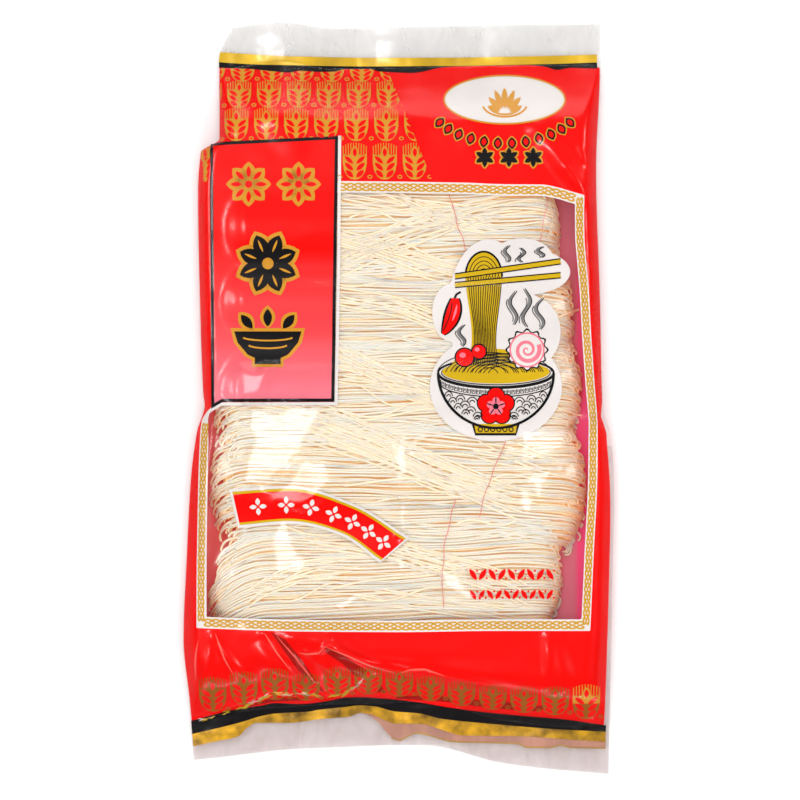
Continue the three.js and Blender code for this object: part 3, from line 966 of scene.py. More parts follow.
class PACK_OT_back_print(Operator):
    """Print on the back film, and its inner side, which shows between the noodles"""
    bl_idname = "pack.back_print"
    bl_label = "Back print"

    # The bright edge of the back's gold: the X that it starts from, and its width.
    EDGE_FROM, EDGE_WIDTH = -5, 0.7

    def execute(self, context):
        def back_ground(x, y):
            down = np.minimum(line_through(TOP_RED, x) - y, y - line_through(FOOT_GOLD, x))
            return np.minimum(inside_margins(x, y), down)
        red = field_piece("back_print", "red", back_ground, BACK_PRINT, back=True)
        red.data.flip_normals()
        field_piece("back_liner", "red", back_ground, BACK_LINER, back=True, material=liner_ink())
        gold = [band(FOOT_GOLD, BACK_FOOT_END)]
        foot = stamp_piece("back_gold_foot", "gold", gold, BACK_PRINT, back=True)
        foot.data.flip_normals()
        inner = stamp_piece("back_gold_inside", "gold", gold, BACK_LINER, back=True)
        inner.data.materials[0] = brown_ink()
        edge = [(x, y) for x, y in BACK_FOOT_END if x > self.EDGE_FROM]
        lower = [(x, y - self.EDGE_WIDTH) for x, y in edge]
        stamp_piece("back_gold_edge", "gold", [band(edge, lower)], BACK_EDGE, back=True)
        return {"FINISHED"}


class PACK_OT_red_ground(Operator):
    """Red ground of the front print"""
    bl_idname = "pack.red_ground"
    bl_label = "Red ground"

    def execute(self, context):
        field_piece("red_ground", "red", red_ground, GROUND)
        return {"FINISHED"}


class PACK_OT_bands(Operator):
    """Gold and black bands across both ends"""
    bl_idname = "pack.bands"
    bl_label = "Gold and black bands"

    def execute(self, context):
        for name, ink_name, upper, lower in (
                ("gold_band_top", "gold", TOP_GOLD, TOP_BLACK),
                ("black_band_top", "black", TOP_BLACK, TOP_RED),
                ("black_band_foot", "black", FOOT_BLACK, FOOT_GOLD),
                ("gold_band_foot", "foil", FOOT_GOLD, FOOT_END)):
            stamp_piece(name, ink_name, [band(upper, lower)], LINE)
        return {"FINISHED"}


class PACK_OT_window_border(Operator):
    """Pale border round the window, with its gold scroll"""
    bl_idname = "pack.window_border"
    bl_label = "Window border"

    # One curl of the scroll, as shares of its pitch and of half its height. Every second one is mirrored.
    CURL = ((0.16, 0.30), (0.40, 0.40), (0.52, 0.72), (0.26, 1.0), (-0.20, 1.0), (-0.50, 0.72), (-0.40, 0.30),
            (0, 0), (0.40, -0.30), (0.50, -0.72), (0.20, -1.0), (-0.26, -1.0), (-0.52, -0.72), (-0.40, -0.40),
            (-0.16, -0.30))
    CURL_POINTS, CURL_REACH, STROKE = 29, 1.45, 0.66
    # Each edge that the scroll follows: from where to where, whether it runs along X, and how far inside
    # the edge it lies, as a share of half the border.
    RUNS = ((WINDOW_TOP, -25, 76, True, -1), (WINDOW_FOOT, -81, 78, True, 1),
            (WINDOW_LEFT, -93, -7, False, 0.8), (WINDOW_RIGHT, -94.5, 86, False, -RIGHT_BORDER_SHARE))

    def rounded_curl(self):
        """The curl with more points, and its corners smoothed twice."""
        places = np.linspace(0, len(self.CURL) - 1, self.CURL_POINTS)
        curl = points_along(self.CURL, range(len(self.CURL)), places)
        for _ in range(2):
            curl[1:-1] = (curl[:-2] + curl[1:-1] * 2 + curl[2:]) / 4
        return curl

    def scroll(self, knots, low, high, runs_along_x, share):
        """Curls at even distances along one edge of the window, down the middle of the border."""
        pitch = sizes().scroll_pitch / MM
        place = np.arange(low, high, 0.5)
        other = line_through(knots, place * MM) / MM + share * sizes().border / 2 / MM
        path = np.stack([place, other] if runs_along_x else [other, place], 1)
        gone = np.r_[0, np.cumsum(np.hypot(*np.diff(path, axis=0).T))]
        starts = np.arange(pitch / 2, gone[-1] - pitch / 2, pitch)
        middle = points_along(path, gone, starts)
        ahead = points_along(path, gone, starts + 0.5) - middle
        ahead /= np.linalg.norm(ahead, axis=1, keepdims=True)
        aside = np.stack([-ahead[:, 1], ahead[:, 0]], -1)
        mirror = np.where(np.arange(len(starts)) % 2, -1, 1)[:, None, None]
        curl = self.rounded_curl()[None]
        along = ahead[:, None] * curl[..., :1] * mirror * pitch
        across = aside[:, None] * curl[..., 1:] * self.CURL_REACH * abs(share)
        return ribbon(middle[:, None] + along + across, self.STROKE)

    def execute(self, context):
        def border_ground(x, y):
            inset = window_inset(x, y)
            return least(inset, sizes().border - inset, -behind_label(x, y))
        field_piece("border_ground", "white", border_ground, BORDER)
        shapes = [self.scroll(*run) for run in self.RUNS]
        stamp_piece("border_scroll", "scroll", shapes, LABEL, keep=lambda x, y: -behind_label(x, y))
        return {"FINISHED"}


class PACK_OT_label(Operator):
    """Upright label with its black line, its white line and its ornaments"""
    bl_idname = "pack.label"
    bl_label = "Label"

    OUTLINE = ((-77.9, 105.8), (-25.8, 108.4), (-27.3, -0.9), (-73.3, -1.0), (-77.4, -3.4), (-77.5, 40))
    WHITE_LINES = (((-24.5, 109.2), (-24.8, 60), (-25.9, -2.0)),
                   ((-25.3, -2.35), (-73.6, -2.5), (-78.6, -5.4)))
    ROSETTES, FLOWER, BOWL = ((-62.4, 89), (-41.6, 89)), (-54.4, 56.0), (-54.4, 26.5)
    # The right side of the bowl and of its black inside, and its three leaves with the lean of each.
    BOWL_SIDE = ((15.5, 2.6), (14.2, -3.4), (9.6, -9.2), (6.6, -10.8), (6.6, -13.6))
    INSIDE = ((14.0, 1.2), (12.6, -3.4), (8.4, -8.4), (5.4, -9.8), (5.4, -12.4))
    LEAVES = ((-8, 4.4, 0.7), (0, 5.8, 0.0), (8, 4.4, -0.7))

    def execute(self, context):
        field_piece("label_ground", "red", on_label, LABEL, material=label_ink())
        stamp_piece("label_line", "black", [frame_line(self.OUTLINE, sizes().label_line / MM)], STAMP)
        stamp_piece("label_white_line", "white", [ribbon(path, 1.3) for path in self.WHITE_LINES], LINE)
        gold, red, dark = [], [], []
        for middle in self.ROSETTES:
            gold += flower(*middle, 8, 0.4, 9.4, 6.0) + [dot(*middle, 4.6)]
            red += flower(*middle, 8, 2.8, 7.6, 2.0) + [dot(*middle, 1.5)]
        half_step = math.pi / 8
        gold += flower(*self.FLOWER, 8, 1.0, 14.4, 9.6, half_step) + [dot(*self.FLOWER, 7.0)]
        dark += flower(*self.FLOWER, 8, 2.4, 12.6, 6.4, half_step) + [ring(*self.FLOWER, 3.4, 3.4, 2.0)]
        veins = flower(*self.FLOWER, 8, 5.0, 10.6, 1.0, half_step)
        cx, cy = self.BOWL
        gold.append(placed(blob(mirrored(self.BOWL_SIDE)), cx, cy))
        dark.append(placed(blob(mirrored(self.INSIDE)), cx, cy))
        for x, y, lean in self.LEAVES:
            gold.append(placed(leaf((0, -3.4), (0, 6.2), 6.4), cx + x, cy + y, lean))
            dark.append(placed(leaf((0, -2.6), (0, 4.8), 3.6), cx + x, cy + y, lean))
        veins += [sagging_arc(cx, cy - 1.0, 10.6, 1.6, 0.7), sagging_arc(cx, cy - 4.2, 8.2, 1.6, 0.7)]
        stamp_piece("label_veins", "ochre", veins, PICTURE)
        stamp_piece("label_gold", "ochre", gold, LINE)
        stamp_piece("label_red", "red", red, STAMP)
        stamp_piece("label_black", "black", dark, STAMP)
        return {"FINISHED"}


# Awns of one ear, and its seeds in pairs: where a pair starts and ends as shares of the height, how far out
# it reaches as a share of half the width, and how thick it is.
AWNS = 10
SEED_PAIRS = ((0.06, 0.26, 0.74, 2.3), (0.245, 0.46, 0.84, 2.15), (0.43, 0.64, 0.86, 1.95))


def wheat_ear(width, height):
    """One wheat ear, its foot at the origin: a shield with awns, and the seven seeds that lie on it."""
    w = width / 2
    side = [(0, 0), (0.34, 0.02), (0.64, 0.10), (0.88, 0.24), (1.0, 0.44), (1.0, 0.70), (0.78, 0.67),
            (0.52, 0.65), (0.30, 0.72), (0.20, 0.86), (0, 0.91)]
    outline = np.array(side + [(-x, y) for x, y in side[-2:0:-1]]) * (w, height)
    awns = np.linspace(-0.94, 0.94, AWNS) * w
    tall = (1.0 - 0.10 * (awns / w) ** 2) * height
    spread = 1.02 + 0.05 * (1 - np.abs(awns / w))
    foot = np.full(AWNS, 0.62 * height)
    awn_paths = np.stack([np.stack([awns, foot], 1), np.stack([awns * spread, tall], 1)], 1)
    shield = merged([blob(outline), ribbon(awn_paths, 0.36)])
    seeds = []
    grain = min(width / 11, height / 15)
    for low, high, reach, broad in SEED_PAIRS:
        for s in (-1, 1):
            seeds.append(leaf((s * w * 0.12, height * low), (s * w * reach, height * high), broad * grain))
    seeds.append(leaf((0, 0.62 * height), (0, 0.86 * height), 2.0 * grain))
    return shield, merged(seeds)


class PACK_OT_wheat_ears(Operator):
    """Rows of wheat ears in the header and along the foot, where they are darkened as painted shade and the
    last one has bright awns, a painted highlight
    """
    bl_idname = "pack.wheat_ears"
    bl_label = "Wheat ears"

    # Rows of the header: Y of the ears' feet, their height, and X of the third one.
    HEADER_ROWS = ((132.4, 10.4, -65.4), (121.0, 12.0, -66.6), (106.9, 14.2, -67.6), (90.9, 15.4, -68.2))
    HEADER_PITCH, HEADER_WIDTH, OUTERMOST = 12.5, 10.0, (-80.5, 89.2, 10.8, 15.4)
    # Heights of the ears along the foot, from the left, and where they stand.
    FOOT_HEIGHTS = (15.2, 14.6, 14.0, 12.0, 12.5, 12.0, 11.6, 11.2, 11.2, 11.2, 11.6, 12.6, 15.2)
    FOOT_START, FOOT_PITCH, FOOT_WIDTH, ABOVE_BLACK = -77.6, 13, 11.4, 1.4
    # Awns to the right of this place and above it are bright: a painted highlight in the header's ochre.
    BRIGHT_FROM = (71.5, -127.6)

    def rows(self, name, ink_name, ears, keep):
        """Ears given as middle X, foot Y, width and height, with a small oval after each."""
        shields, seeds = [], []
        for x, y, width, height in ears:
            shield, seed = wheat_ear(width, height)
            shields += [placed(shield, x, y), ring(x + 6.3, y + 1.2, 0.85, 0.62, 0.42, spokes=12)]
            seeds.append(placed(seed, x, y))
        stamp_piece(name, ink_name, shields, LINE, keep=keep)
        stamp_piece(name + "_seeds", "red", seeds, STAMP, keep=keep)

    def execute(self, context):
        def header(x, y):
            slant = 0.4 * (137 * MM - y) - 4.5 * MM - x
            return least(slant, line_through(TOP_RED, x) - y, y - line_through(WINDOW_TOP, x),
                         x - line_through(LEFT_EDGE, y) - 0.8 * MM, -on_label(x, y) - 0.3 * MM)
        ears = [(third + k * self.HEADER_PITCH, foot, self.HEADER_WIDTH, height)
                for foot, height, third in self.HEADER_ROWS for k in range(-2, 8)]
        self.rows("wheat_ears_header", "ochre", ears + [self.OUTERMOST], header)

        ears = []
        for k, height in enumerate(self.FOOT_HEIGHTS):
            x = self.FOOT_START + self.FOOT_PITCH * k
            foot = line_through(FOOT_BLACK, np.array([x * MM]))[0] / MM + self.ABOVE_BLACK
            ears.append((x, foot, self.FOOT_WIDTH, height))
        bright_x, bright_y = np.array(self.BRIGHT_FROM) * MM

        def bright(x, y):
            return np.minimum(y - bright_y, x - bright_x)
        # Painted shade: the ears along the foot in darkened olive gold.
        self.rows("wheat_ears_foot", "olive", ears,
                  lambda x, y: np.minimum(red_ground(x, y) - 0.6 * MM, -bright(x, y)))
        # Painted highlight: the last ear's awns in bright ochre.
        self.rows("wheat_awns_bright", "ochre", ears[-1:],
                  lambda x, y: np.minimum(red_ground(x, y) - 0.6 * MM, bright(x, y)))
        return {"FINISHED"}


class PACK_OT_oval(Operator):
    """White oval panel with a gold rim and a small spray of leaves"""
    bl_idname = "pack.oval"
    bl_label = "Oval panel"

    def execute(self, context):
        cx, cy, a, b = OVAL
        field_piece("oval_ground", "white", lambda x, y: ellipse(cx, cy, a, b, x, y), LABEL)
        shapes = [ring(cx, cy, a, b, 0.7, spokes=90)]
        for k in range(-3, 4):
            shapes.append(placed(leaf((0, 2.4), (0, 11.6 - 0.4 * k * k), 2.5), cx, cy - 6.4, -k * 0.37))
        for drop, reach in ((-1.6, 9.4), (-2.2, 6.8)):
            shapes.append(sagging_arc(cx, cy + drop, reach, reach * 0.62, 0.8))
        stamp_piece("oval_gold", "ochre", shapes, STAMP)
        return {"FINISHED"}


class PACK_OT_banner(Operator):
    """Arched red banner with yellow and white edges and a row of small flowers"""
    bl_idname = "pack.banner"
    bl_label = "Banner"

    # X and Y of the banner's upper and lower edge, at hundredths of its run.
    TOP = (((0, -69), (25, -45.6), (58, -20.4), (100, 2.7)),
           ((0, -39.5), (25, -38.2), (58, -44.9), (100, -58.8)))
    FOOT = (((0, -66.2), (25, -45.6), (58, -24.6), (100, -6.9)),
            ((0, -52.5), (25, -50.8), (58, -55.4), (100, -67.2)))

    def execute(self, context):
        t = np.linspace(0, 100, 90) * MM
        top, foot = (np.stack([line_through(knots, t) for knots in edge], -1) / MM
                     for edge in (self.TOP, self.FOOT))

        def strip(low, high, ends=0.0):
            """The banner between two shares of its height, drawn out past its ends."""
            points = foot[:, None] + (top - foot)[:, None] * np.linspace(low, high, 3)[None, :, None]
            points[0] -= (points[1] - points[0]) * ends
            points[-1] += (points[-1] - points[-2]) * ends
            return points.reshape(-1, 2), triangles_of(grid_faces(len(t), 3))
        stamp_piece("banner_white", "white", [strip(-0.13, 1.13, ends=1.1)], LABEL)
        stamp_piece("banner_red", "red", [strip(-0.02, 1.02)], LINE)
        stamp_piece("banner_yellow", "yellow", [strip(-0.03, 0.045), strip(0.955, 1.04)], STAMP)
        shapes = []
        for place in np.linspace(9, 81, 7).astype(int):
            middle = (top[place] + foot[place]) / 2
            turn = math.atan2(*(top[place + 1] - top[place - 1])[::-1])
            shapes += flower(*middle, 4, 0.5, 3.6, 1.9, turn)
        stamp_piece("banner_flowers", "white", shapes, STAMP)
        return {"FINISHED"}


class PACK_OT_bowl_picture(Operator):
    """A printed bowl with a blossom on its side, noodles held up by chopsticks, a round slice and steam"""
    bl_idname = "pack.bowl_picture"
    bl_label = "Bowl picture"

    # X of the bowl's middle, Y of its rim, half its width, its depth, and how far the rim's near side sags.
    MIDDLE, RIM, REACH, DEPTH, SAG = 40.5, 10.5, 24, 19.5, 0.25
    # One hook of the fret as steps along and down the bowl's side, the lines over and under the fret, and how
    # many hooks there are.
    FRET = ((-0.030, 0.065), (-0.030, 0.165), (0.022, 0.165), (0.022, 0.085), (-0.006, 0.085), (-0.006, 0.13))
    FRET_LINES, FRETS = (0.03, 0.21), 25
    # Waves in each row on the bowl's side, from the rim down.
    WAVES = (9, 8, 7, 6, 5)
    # The blossom: its place under the rim, the space that the waves leave for it, its petals and their reach.
    BLOSSOM_DOWN, BLOSSOM_SPACE, PETALS, PETAL_OUT = 14.0, 8.6, 5, 4.3
    # Right side of the bowl's foot, and its studs.
    FOOT_SIDE, FOOT_STUDS = ((9.5, -21.3), (8.4, -25.6)), 6
    # Ellipses of the pale ground round the picture: middle from the bowl's, and reach.
    HALO = ((0, -6, 27.5, 22.5), (-3, 26, 17, 29.5), (11, 42, 20, 9.8), (14, 17, 13, 15), (-18.5, 25, 8, 12),
            (11, 47, 13, 9))
    # The sheaf of noodles: middle, its top over the rim, and the reach of its round end.
    SHEAF, SHEAF_TOP, SHEAF_END = -5, 40, (7.6, 10.4)
    # Wisps of steam: X and Y of the foot, height and sway.
    STEAM = ((-14.4, 11, 9, 1.2), (7.0, 20, 14, 1.4), (12.5, 19, 16, -1.6), (18.0, 18, 13, 1.6),
             (4.5, 46, 7, 1.0), (10.5, 46, 6, -1.2), (18.5, 48, 4.5, 1.2))

    def wall(self, k, d):
        """A place on the bowl's side: k from -1 at its left to 1 at its right, d from 0 at the rim to 1."""
        width = self.REACH * np.sqrt(1 - (0.97 * d) ** 2)
        sag = self.SAG * width * np.sqrt(1 - k ** 2)
        return np.stack([self.MIDDLE + k * width, self.RIM - self.DEPTH * d - sag], -1)

    def bowl(self, dark, under, behind, yellow, red, pink):
        """The bowl: rim, fret under the rim, rows of waves, a blossom, and a gold foot."""
        cx, rim = self.MIDDLE, self.RIM
        wall = np.linspace(math.pi, 2 * math.pi, 60)
        dark.append(ribbon(on_circle(wall) * (self.REACH, 23) + (cx, rim), 1.1))
        for a, b, width in ((24, 6.0, 0.9), (22.6, 5.0, 0.4)):
            dark.append(ring(cx, rim, a, b, width, start=math.pi, spokes=50))
            behind.append(ring(cx, rim, a, b, width, stop=math.pi, spokes=50))
        even = np.linspace(-0.985, 0.985, 50)
        behind += [ribbon(self.wall(even, 0 * even + d), 0.5) for d in self.FRET_LINES]
        across, down = np.array(self.FRET).T
        behind += [ribbon(self.wall(np.clip(across + k, -1, 1), down), 0.42)
                   for k in np.linspace(-0.93, 0.93, self.FRETS)]
        blossom = np.array((cx, rim - self.BLOSSOM_DOWN))
        for row, count in enumerate(self.WAVES):
            d = 0.40 + 0.135 * row
            reach = 23 * math.sqrt(1 - d * d) / count
            for k in (np.arange(count) + 0.5) / count * 2 - 1:
                x, y = self.wall(k, d)
                if math.hypot(x - cx, y - rim + 14.4) < self.BLOSSOM_SPACE:
                    continue
                lean = math.sqrt(1 - 0.6 * k * k)
                dark += [ring(x, y, reach * share * lean, reach * share * 1.1, 0.42, start=0.3,
                              stop=math.pi - 0.3, spokes=9) for share in (1.0, 0.5)]
        for turn in np.arange(self.PETALS) * 2 * math.pi / self.PETALS:
            petal = blossom + self.PETAL_OUT * np.array((-math.sin(turn), math.cos(turn)))
            under.append(dot(*petal, 3.9))
            red.append(dot(*petal, 3.4))
            pink.append(dot(*(blossom * 0.45 + petal * 0.55), 1.5))
            dark.append(placed(leaf((0, 0.8), (0, 4.4), 0.55), *blossom, turn))
        dark.append(dot(*blossom, 1.2))
        foot = np.array(mirrored(self.FOOT_SIDE)) + (cx, rim)
        yellow.append(blob(foot))
        dark.append(ribbon(foot, 1.0))
        for x in np.linspace(-6.4, 6.4, self.FOOT_STUDS):
            dark.append(ring(cx + x, rim - 23.6, 0.9, 0.9, 0.45, spokes=10))

    def noodles(self, dark, under, yellow):
        """Noodles heaped in the bowl, and a sheaf of them that hangs over the chopsticks."""
        cx, rim = self.MIDDLE, self.RIM
        yellow += [disc(cx, rim + 0.4, 22.4, 4.9), disc(cx - 1, rim + 1.6, 18, 8.4, stop=math.pi)]
        for k in range(16):
            spread = 4 + k * 1.15
            under.append(ring(cx + (k % 3 - 1) * 3.2, rim - 0.6, spread, 1.2 + spread * 0.37, 0.36,
                              start=0.12, stop=math.pi - 0.12))
        rise = np.linspace(0, 1, 30)
        middle, top = cx + self.SHEAF, rim + self.SHEAF_TOP
        for k, s in enumerate(np.linspace(-1, 1, 15)):
            spread = 7.0 - 2.2 * np.sin((1 - rise) * math.pi * 0.8)
            x = middle + s * spread + 0.45 * np.sin(rise * 6 + k * 0.25)
            path = np.stack([x, rim + 3 + (self.SHEAF_TOP - 3) * rise], -1)
            yellow.append(ribbon(path, 1.25))
            under.append(ribbon(path + (0.5, 0), 0.36))
        yellow.append(disc(middle, top, *self.SHEAF_END, stop=math.pi))
        for reach in (1.2, 2.4, 3.6, 4.8, 6.1):
            under.append(ring(middle, top, reach, reach * 1.36, 0.36, stop=math.pi))
        under.append(ring(middle, top, *self.SHEAF_END, 0.8, stop=math.pi))

    def toppings(self, dark, under, white, red, pink):
        """A round slice with a spiral, a red pod with its stalk, and two small rounds."""
        cx, rim = self.MIDDLE, self.RIM
        slice_at, t = np.array((cx + 13, rim + 9.5)), np.linspace(0, 1, 60)
        wave = 7.6 + 0.7 * np.cos(t * 2 * math.pi * 12)
        scallop = (wave[:, None] * on_circle(t * 2 * math.pi) + slice_at)[:-1]
        under.append(placed(blob((scallop - slice_at) * 1.1), *slice_at))
        white.append(blob(scallop))
        pink += [placed(ribbon(5.4 * t[:, None] * on_circle(t * 13), 1.5 * t + 0.4), *slice_at),
                 ring(*slice_at, 7.0, 7.0, 0.7)]
        bend = np.linspace(0, 1, 30)
        pod = np.stack([cx - 17 - 5 * bend ** 2, rim + 31 - 15 * bend], -1)
        thick = np.sin(math.pi * (0.12 + 0.86 * bend)) ** 0.7
        under.append(ribbon(pod, 6.4 * thick + 1.0))
        red.append(ribbon(pod, 5.4 * thick + 0.1))
        pink.append(ribbon(pod[6:20] + (1.0, 0.4), 0.9 * np.sin(math.pi * np.linspace(0.05, 0.95, 14))))
        dark += [ribbon([(cx - 17.2, rim + 31), (cx - 16.4, rim + 32.6), (cx - 14.6, rim + 33.6)], 0.9),
                 ribbon(pod[3:26] - (1.2, 0.5), 0.4)]
        for dx, dy, reach in ((-13, 6.4, 3.6), (-7, 8.8, 2.8)):
            under.append(dot(cx + dx, rim + dy, reach + 0.6))
            red.append(dot(cx + dx, rim + dy, reach))
            pink.append(disc(cx + dx - 0.8, rim + dy + 0.9, reach * 0.36, reach * 0.3))

    def chopsticks(self, dark, sticks):
        """Two chopsticks, thicker at their right ends."""
        cx, rim = self.MIDDLE, self.RIM
        for shift in (0.0, 4.0):
            stick = np.array([(cx - 17, rim + 36.5 + shift * 0.9), (cx + 27, rim + 40.6 + shift * 1.45)])
            sticks.append(ribbon(stick, (1.5, 2.6)))
            dark += [ribbon(stick + (0, 1.1), 0.5), ribbon(stick - (0, 1.1), 0.5)]

    def steam(self, dark, grey):
        """Wavy wisps on both sides of the noodles and over the chopsticks."""
        rise = np.linspace(0, 1, 30)
        for dx, base, tall, sway in self.STEAM:
            path = np.stack([self.MIDDLE + dx + sway * np.sin(rise * 7), self.RIM + base + tall * rise], -1)
            grey.append(ribbon(path, 1.2 * np.sin(math.pi * rise) + 0.3))
            dark += [ribbon(path + (0.8, 0), 0.4), ribbon(path[4:24] - (1.2, 0.6), 0.35)]

    def execute(self, context):
        def halo(x, y):
            parts = [ellipse(self.MIDDLE + dx, self.RIM + dy, a, b, x, y) for dx, dy, a, b in self.HALO]
            return np.maximum.reduce(parts)
        field_piece("picture_ground", "white", halo, LABEL)

        dark, under, behind, grey, yellow, red, pink, sticks, white = ([] for _ in range(9))
        self.bowl(dark, under, behind, yellow, red, pink)
        self.noodles(dark, under, yellow)
        self.toppings(dark, under, white, red, pink)
        self.chopsticks(dark, sticks)
        self.steam(dark, grey)
        # The layers of the picture, each with its depth under the film in millimetres.
        for name, ink_name, shapes, depth in (
                ("grey", "grey", grey, 0.27), ("far_rim", "black", behind, 0.26),
                ("yellow", "yellow", yellow, 0.235), ("shading", "black", under, 0.205),
                ("red", "red", red, 0.155), ("slice", "white", white, 0.18),
                ("sticks", "yellow", sticks, 0.15), ("pink", "pink", pink, 0.13),
                ("lines", "black", dark, 0.10)):
            stamp_piece(f"picture_{name}", ink_name, shapes, depth * MM)
        return {"FINISHED"}


class PACK_OT_marks(Operator):
    """Small ornaments: an arc of lozenges and three flowers under the oval, and two rows of red leaves"""
    bl_idname = "pack.marks"
    bl_label = "Small ornaments"

    def execute(self, context):
        gold, dark, red, low = [], [], [], []
        cx, cy, a, b = *OVAL[:2], 32, 18.6
        for angle in np.radians(np.linspace(212, 328, 12)):
            x, y = cx + a * math.cos(angle), cy + b * math.sin(angle)
            turn = math.atan2(b * math.cos(angle), -a * math.sin(angle))
            for shapes, reach, width in ((gold, 3.1, 4.6), (dark, 2.5, 3.5), (red, 1.6, 2.1)):
                shapes.append(placed(leaf((0, -reach), (0, reach), width), x, y, turn))
        for x in (35.9, 46.0, 56.1):
            gold += flower(x, 100.2, 6, 0, 4.8, 3.4)
            dark += flower(x, 100.2, 6, 0, 4.1, 2.1)
        for y, reach, count in ((-73.4, 2.8, 9), (-81.8, 2.4, 10)):
            for k, x in enumerate(np.linspace(31.0, 63.0, count)):
                lean = 0.55 * (-1) ** k
                low += [placed(leaf((0, -reach), (0, reach), reach * 0.75), x, y, lean),
                        dot(x + 1.7, y + reach * lean, 0.45, spokes=8)]
        stamp_piece("marks_gold", "ochre", gold, LINE)
        stamp_piece("marks_black", "black", dark, STAMP)
        stamp_piece("marks_red", "red", red, PICTURE)
        stamp_piece("marks_low", "red", low, LINE)
        return {"FINISHED"}


class PACK_OT_fold_gold(Operator):
    """The pleats at the foot: dark red where the print lies double, deepened as painted shade of the fold;
    pale red along sharp creases, painted highlights; and broken gold lines along the fold, its print painted
    bright, with thin white painted glints among them"""
    bl_idname = "pack.fold_gold"
    bl_label = "Pleats and fold"

    # Strokes of painted gold glint in each millimetre of the fold, and how often one is a thin white painted
    # glint.
    SEED, STROKES, WHITE_EVERY = 5, 0.9, 4

    # Lines along the fold, which the broken gold follows.
    RIDGES = (
        ((-85, -135.6), (-78.9, -134.0), (-75.1, -132.7), (-66.2, -129.8), (-60.9, -127.3), (-53.1, -123.7),
         (-45.6, -124.1), (-40.3, -123.4), (-35.2, -124.2), (-31.3, -125.7)),
        ((-30, -126), (-23.7, -124.1), (-18.4, -120.9), (-13.7, -116.7)),
    )

    # Outlines of the short pleats.
    PLEATS = (
        ((-53.2, -97.4), (-47.4, -100.3), (-41.0, -108.0), (-30.7, -123.4), (-35.2, -120.8), (-42.9, -111.8),
         (-49.3, -102.8)),
        ((-30.7, -103.5), (-24.3, -106.1), (-15.9, -111.8), (-8.8, -117.0), (-5.6, -123.4), (-10.8, -122.8),
         (-17, -117), (-23.3, -110.6), (-30.1, -106.1)),
        ((-66, -130.0), (-58, -127.4), (-52, -125.2), (-45, -125.6), (-38, -125.2), (-38, -126.6),
         (-52, -127.2), (-60, -128.6)),
    )

    # A long pleat on the right, as the knots of its upper and of its lower line.
    LONG_PLEAT = (((-1, -124.9), (16.7, -124.9), (29.6, -126.2), (45.6, -127.2), (56, -128.9), (68, -126.6)),
                  ((-1, -126.0), (16.7, -127.0), (29.6, -128.7), (45.6, -130.4), (56, -131.0), (68, -127.0)))

    # Creases with a painted highlight along them, each as four points.
    WORN = (
        ((-76.3, -98), (-74.5, -103), (-72.5, -108.6), (-68.6, -115.7)),
        ((-55.8, -97.8), (-53.4, -101.6), (-50.6, -106.1), (-44.8, -113.8)),
        ((-50.6, -99.3), (-42.9, -108.0), (-37.1, -115.7), (-32.0, -123.4)),
        ((-30.7, -103.5), (-21.1, -107.3), (-11.4, -111.8), (-0.5, -115.1)),
        ((-0.5, -115.1), (5.0, -113.3), (11.0, -113.0), (19.0, -115.8)),
        ((-41.6, -106.1), (-38.4, -106.7), (-33.2, -106.3), (-30.7, -103.5)),
        ((-83.4, -101), (-84.4, -106), (-84.9, -111), (-84.7, -118)),
    )

    def execute(self, context):
        pleats = [blob(outline) for outline in self.PLEATS] + [band(*self.LONG_PLEAT)]
        # Painted shade: dark red in the pleats.
        stamp_piece("pleats", "dark_red", pleats, BORDER)
        t = np.linspace(0, 3, 30)
        highlight_lines = [points_along(line, range(4), t) for line in self.WORN]
        slim = np.sin(math.pi * (t + 0.1) / 3.2)
        # Painted highlights: pale red lines along the sharp creases.
        stamp_piece("worn_creases", "ridge", [ribbon(highlight_lines, 0.75 * slim + 0.05)], LABEL)
        rng = np.random.default_rng(self.SEED)
        gold, white = [], []
        for ridge in self.RIDGES:
            ridge = np.array(ridge)
            for k in range(int((ridge[-1, 0] - ridge[0, 0]) * self.STROKES)):
                start = rng.uniform(ridge[0, 0], ridge[-1, 0] - 2)
                x = np.linspace(start, start + rng.uniform(1.2, 4.5), 8)
                y = np.interp(x, *ridge.T) + rng.uniform(-0.7, 0.7) + 0.25 * np.sin(x * rng.uniform(1, 3))
                wide = rng.uniform(0.3, 0.95) * np.sin(np.linspace(0.1, 3.04, 8))
                shapes, share = (white, 0.4) if k % self.WHITE_EVERY == 0 else (gold, 1)
                shapes.append(ribbon(np.stack([x, y], 1), wide * share))
        # Painted glints: gold strokes for the fold's gold print lit bright, white strokes for the film's
        # highlights.
        stamp_piece("fold_gold", "gold", gold, STAMP)
        stamp_piece("fold_glints", "white", white, PICTURE)
        return {"FINISHED"}


# ---------------------------------------------------------------- noodles and threads

TUBE_SIDES = 6
# Thinnest and thickest strand, as shares of the usual one.
THICKNESS = (0.88, 1.08)
# What a hank's core has for its finish to read: fully deep, so it takes the whole painted deep shade and
# glow.
CORE_VALUES = {"deep": 1.0, "tone": 0.5, "warm": 0.0}
# Painted red light from the print on the noodles at the right, the left and the top: how strong it is, and
# from where to where it grows.
RED_LIGHT = ((0.8, 56, 80), (0.45, 66, 82), (0.35, 76, 92))
# How far under the top of the pile a strand counts as fully deep.
DEEP = 3.4 * MM


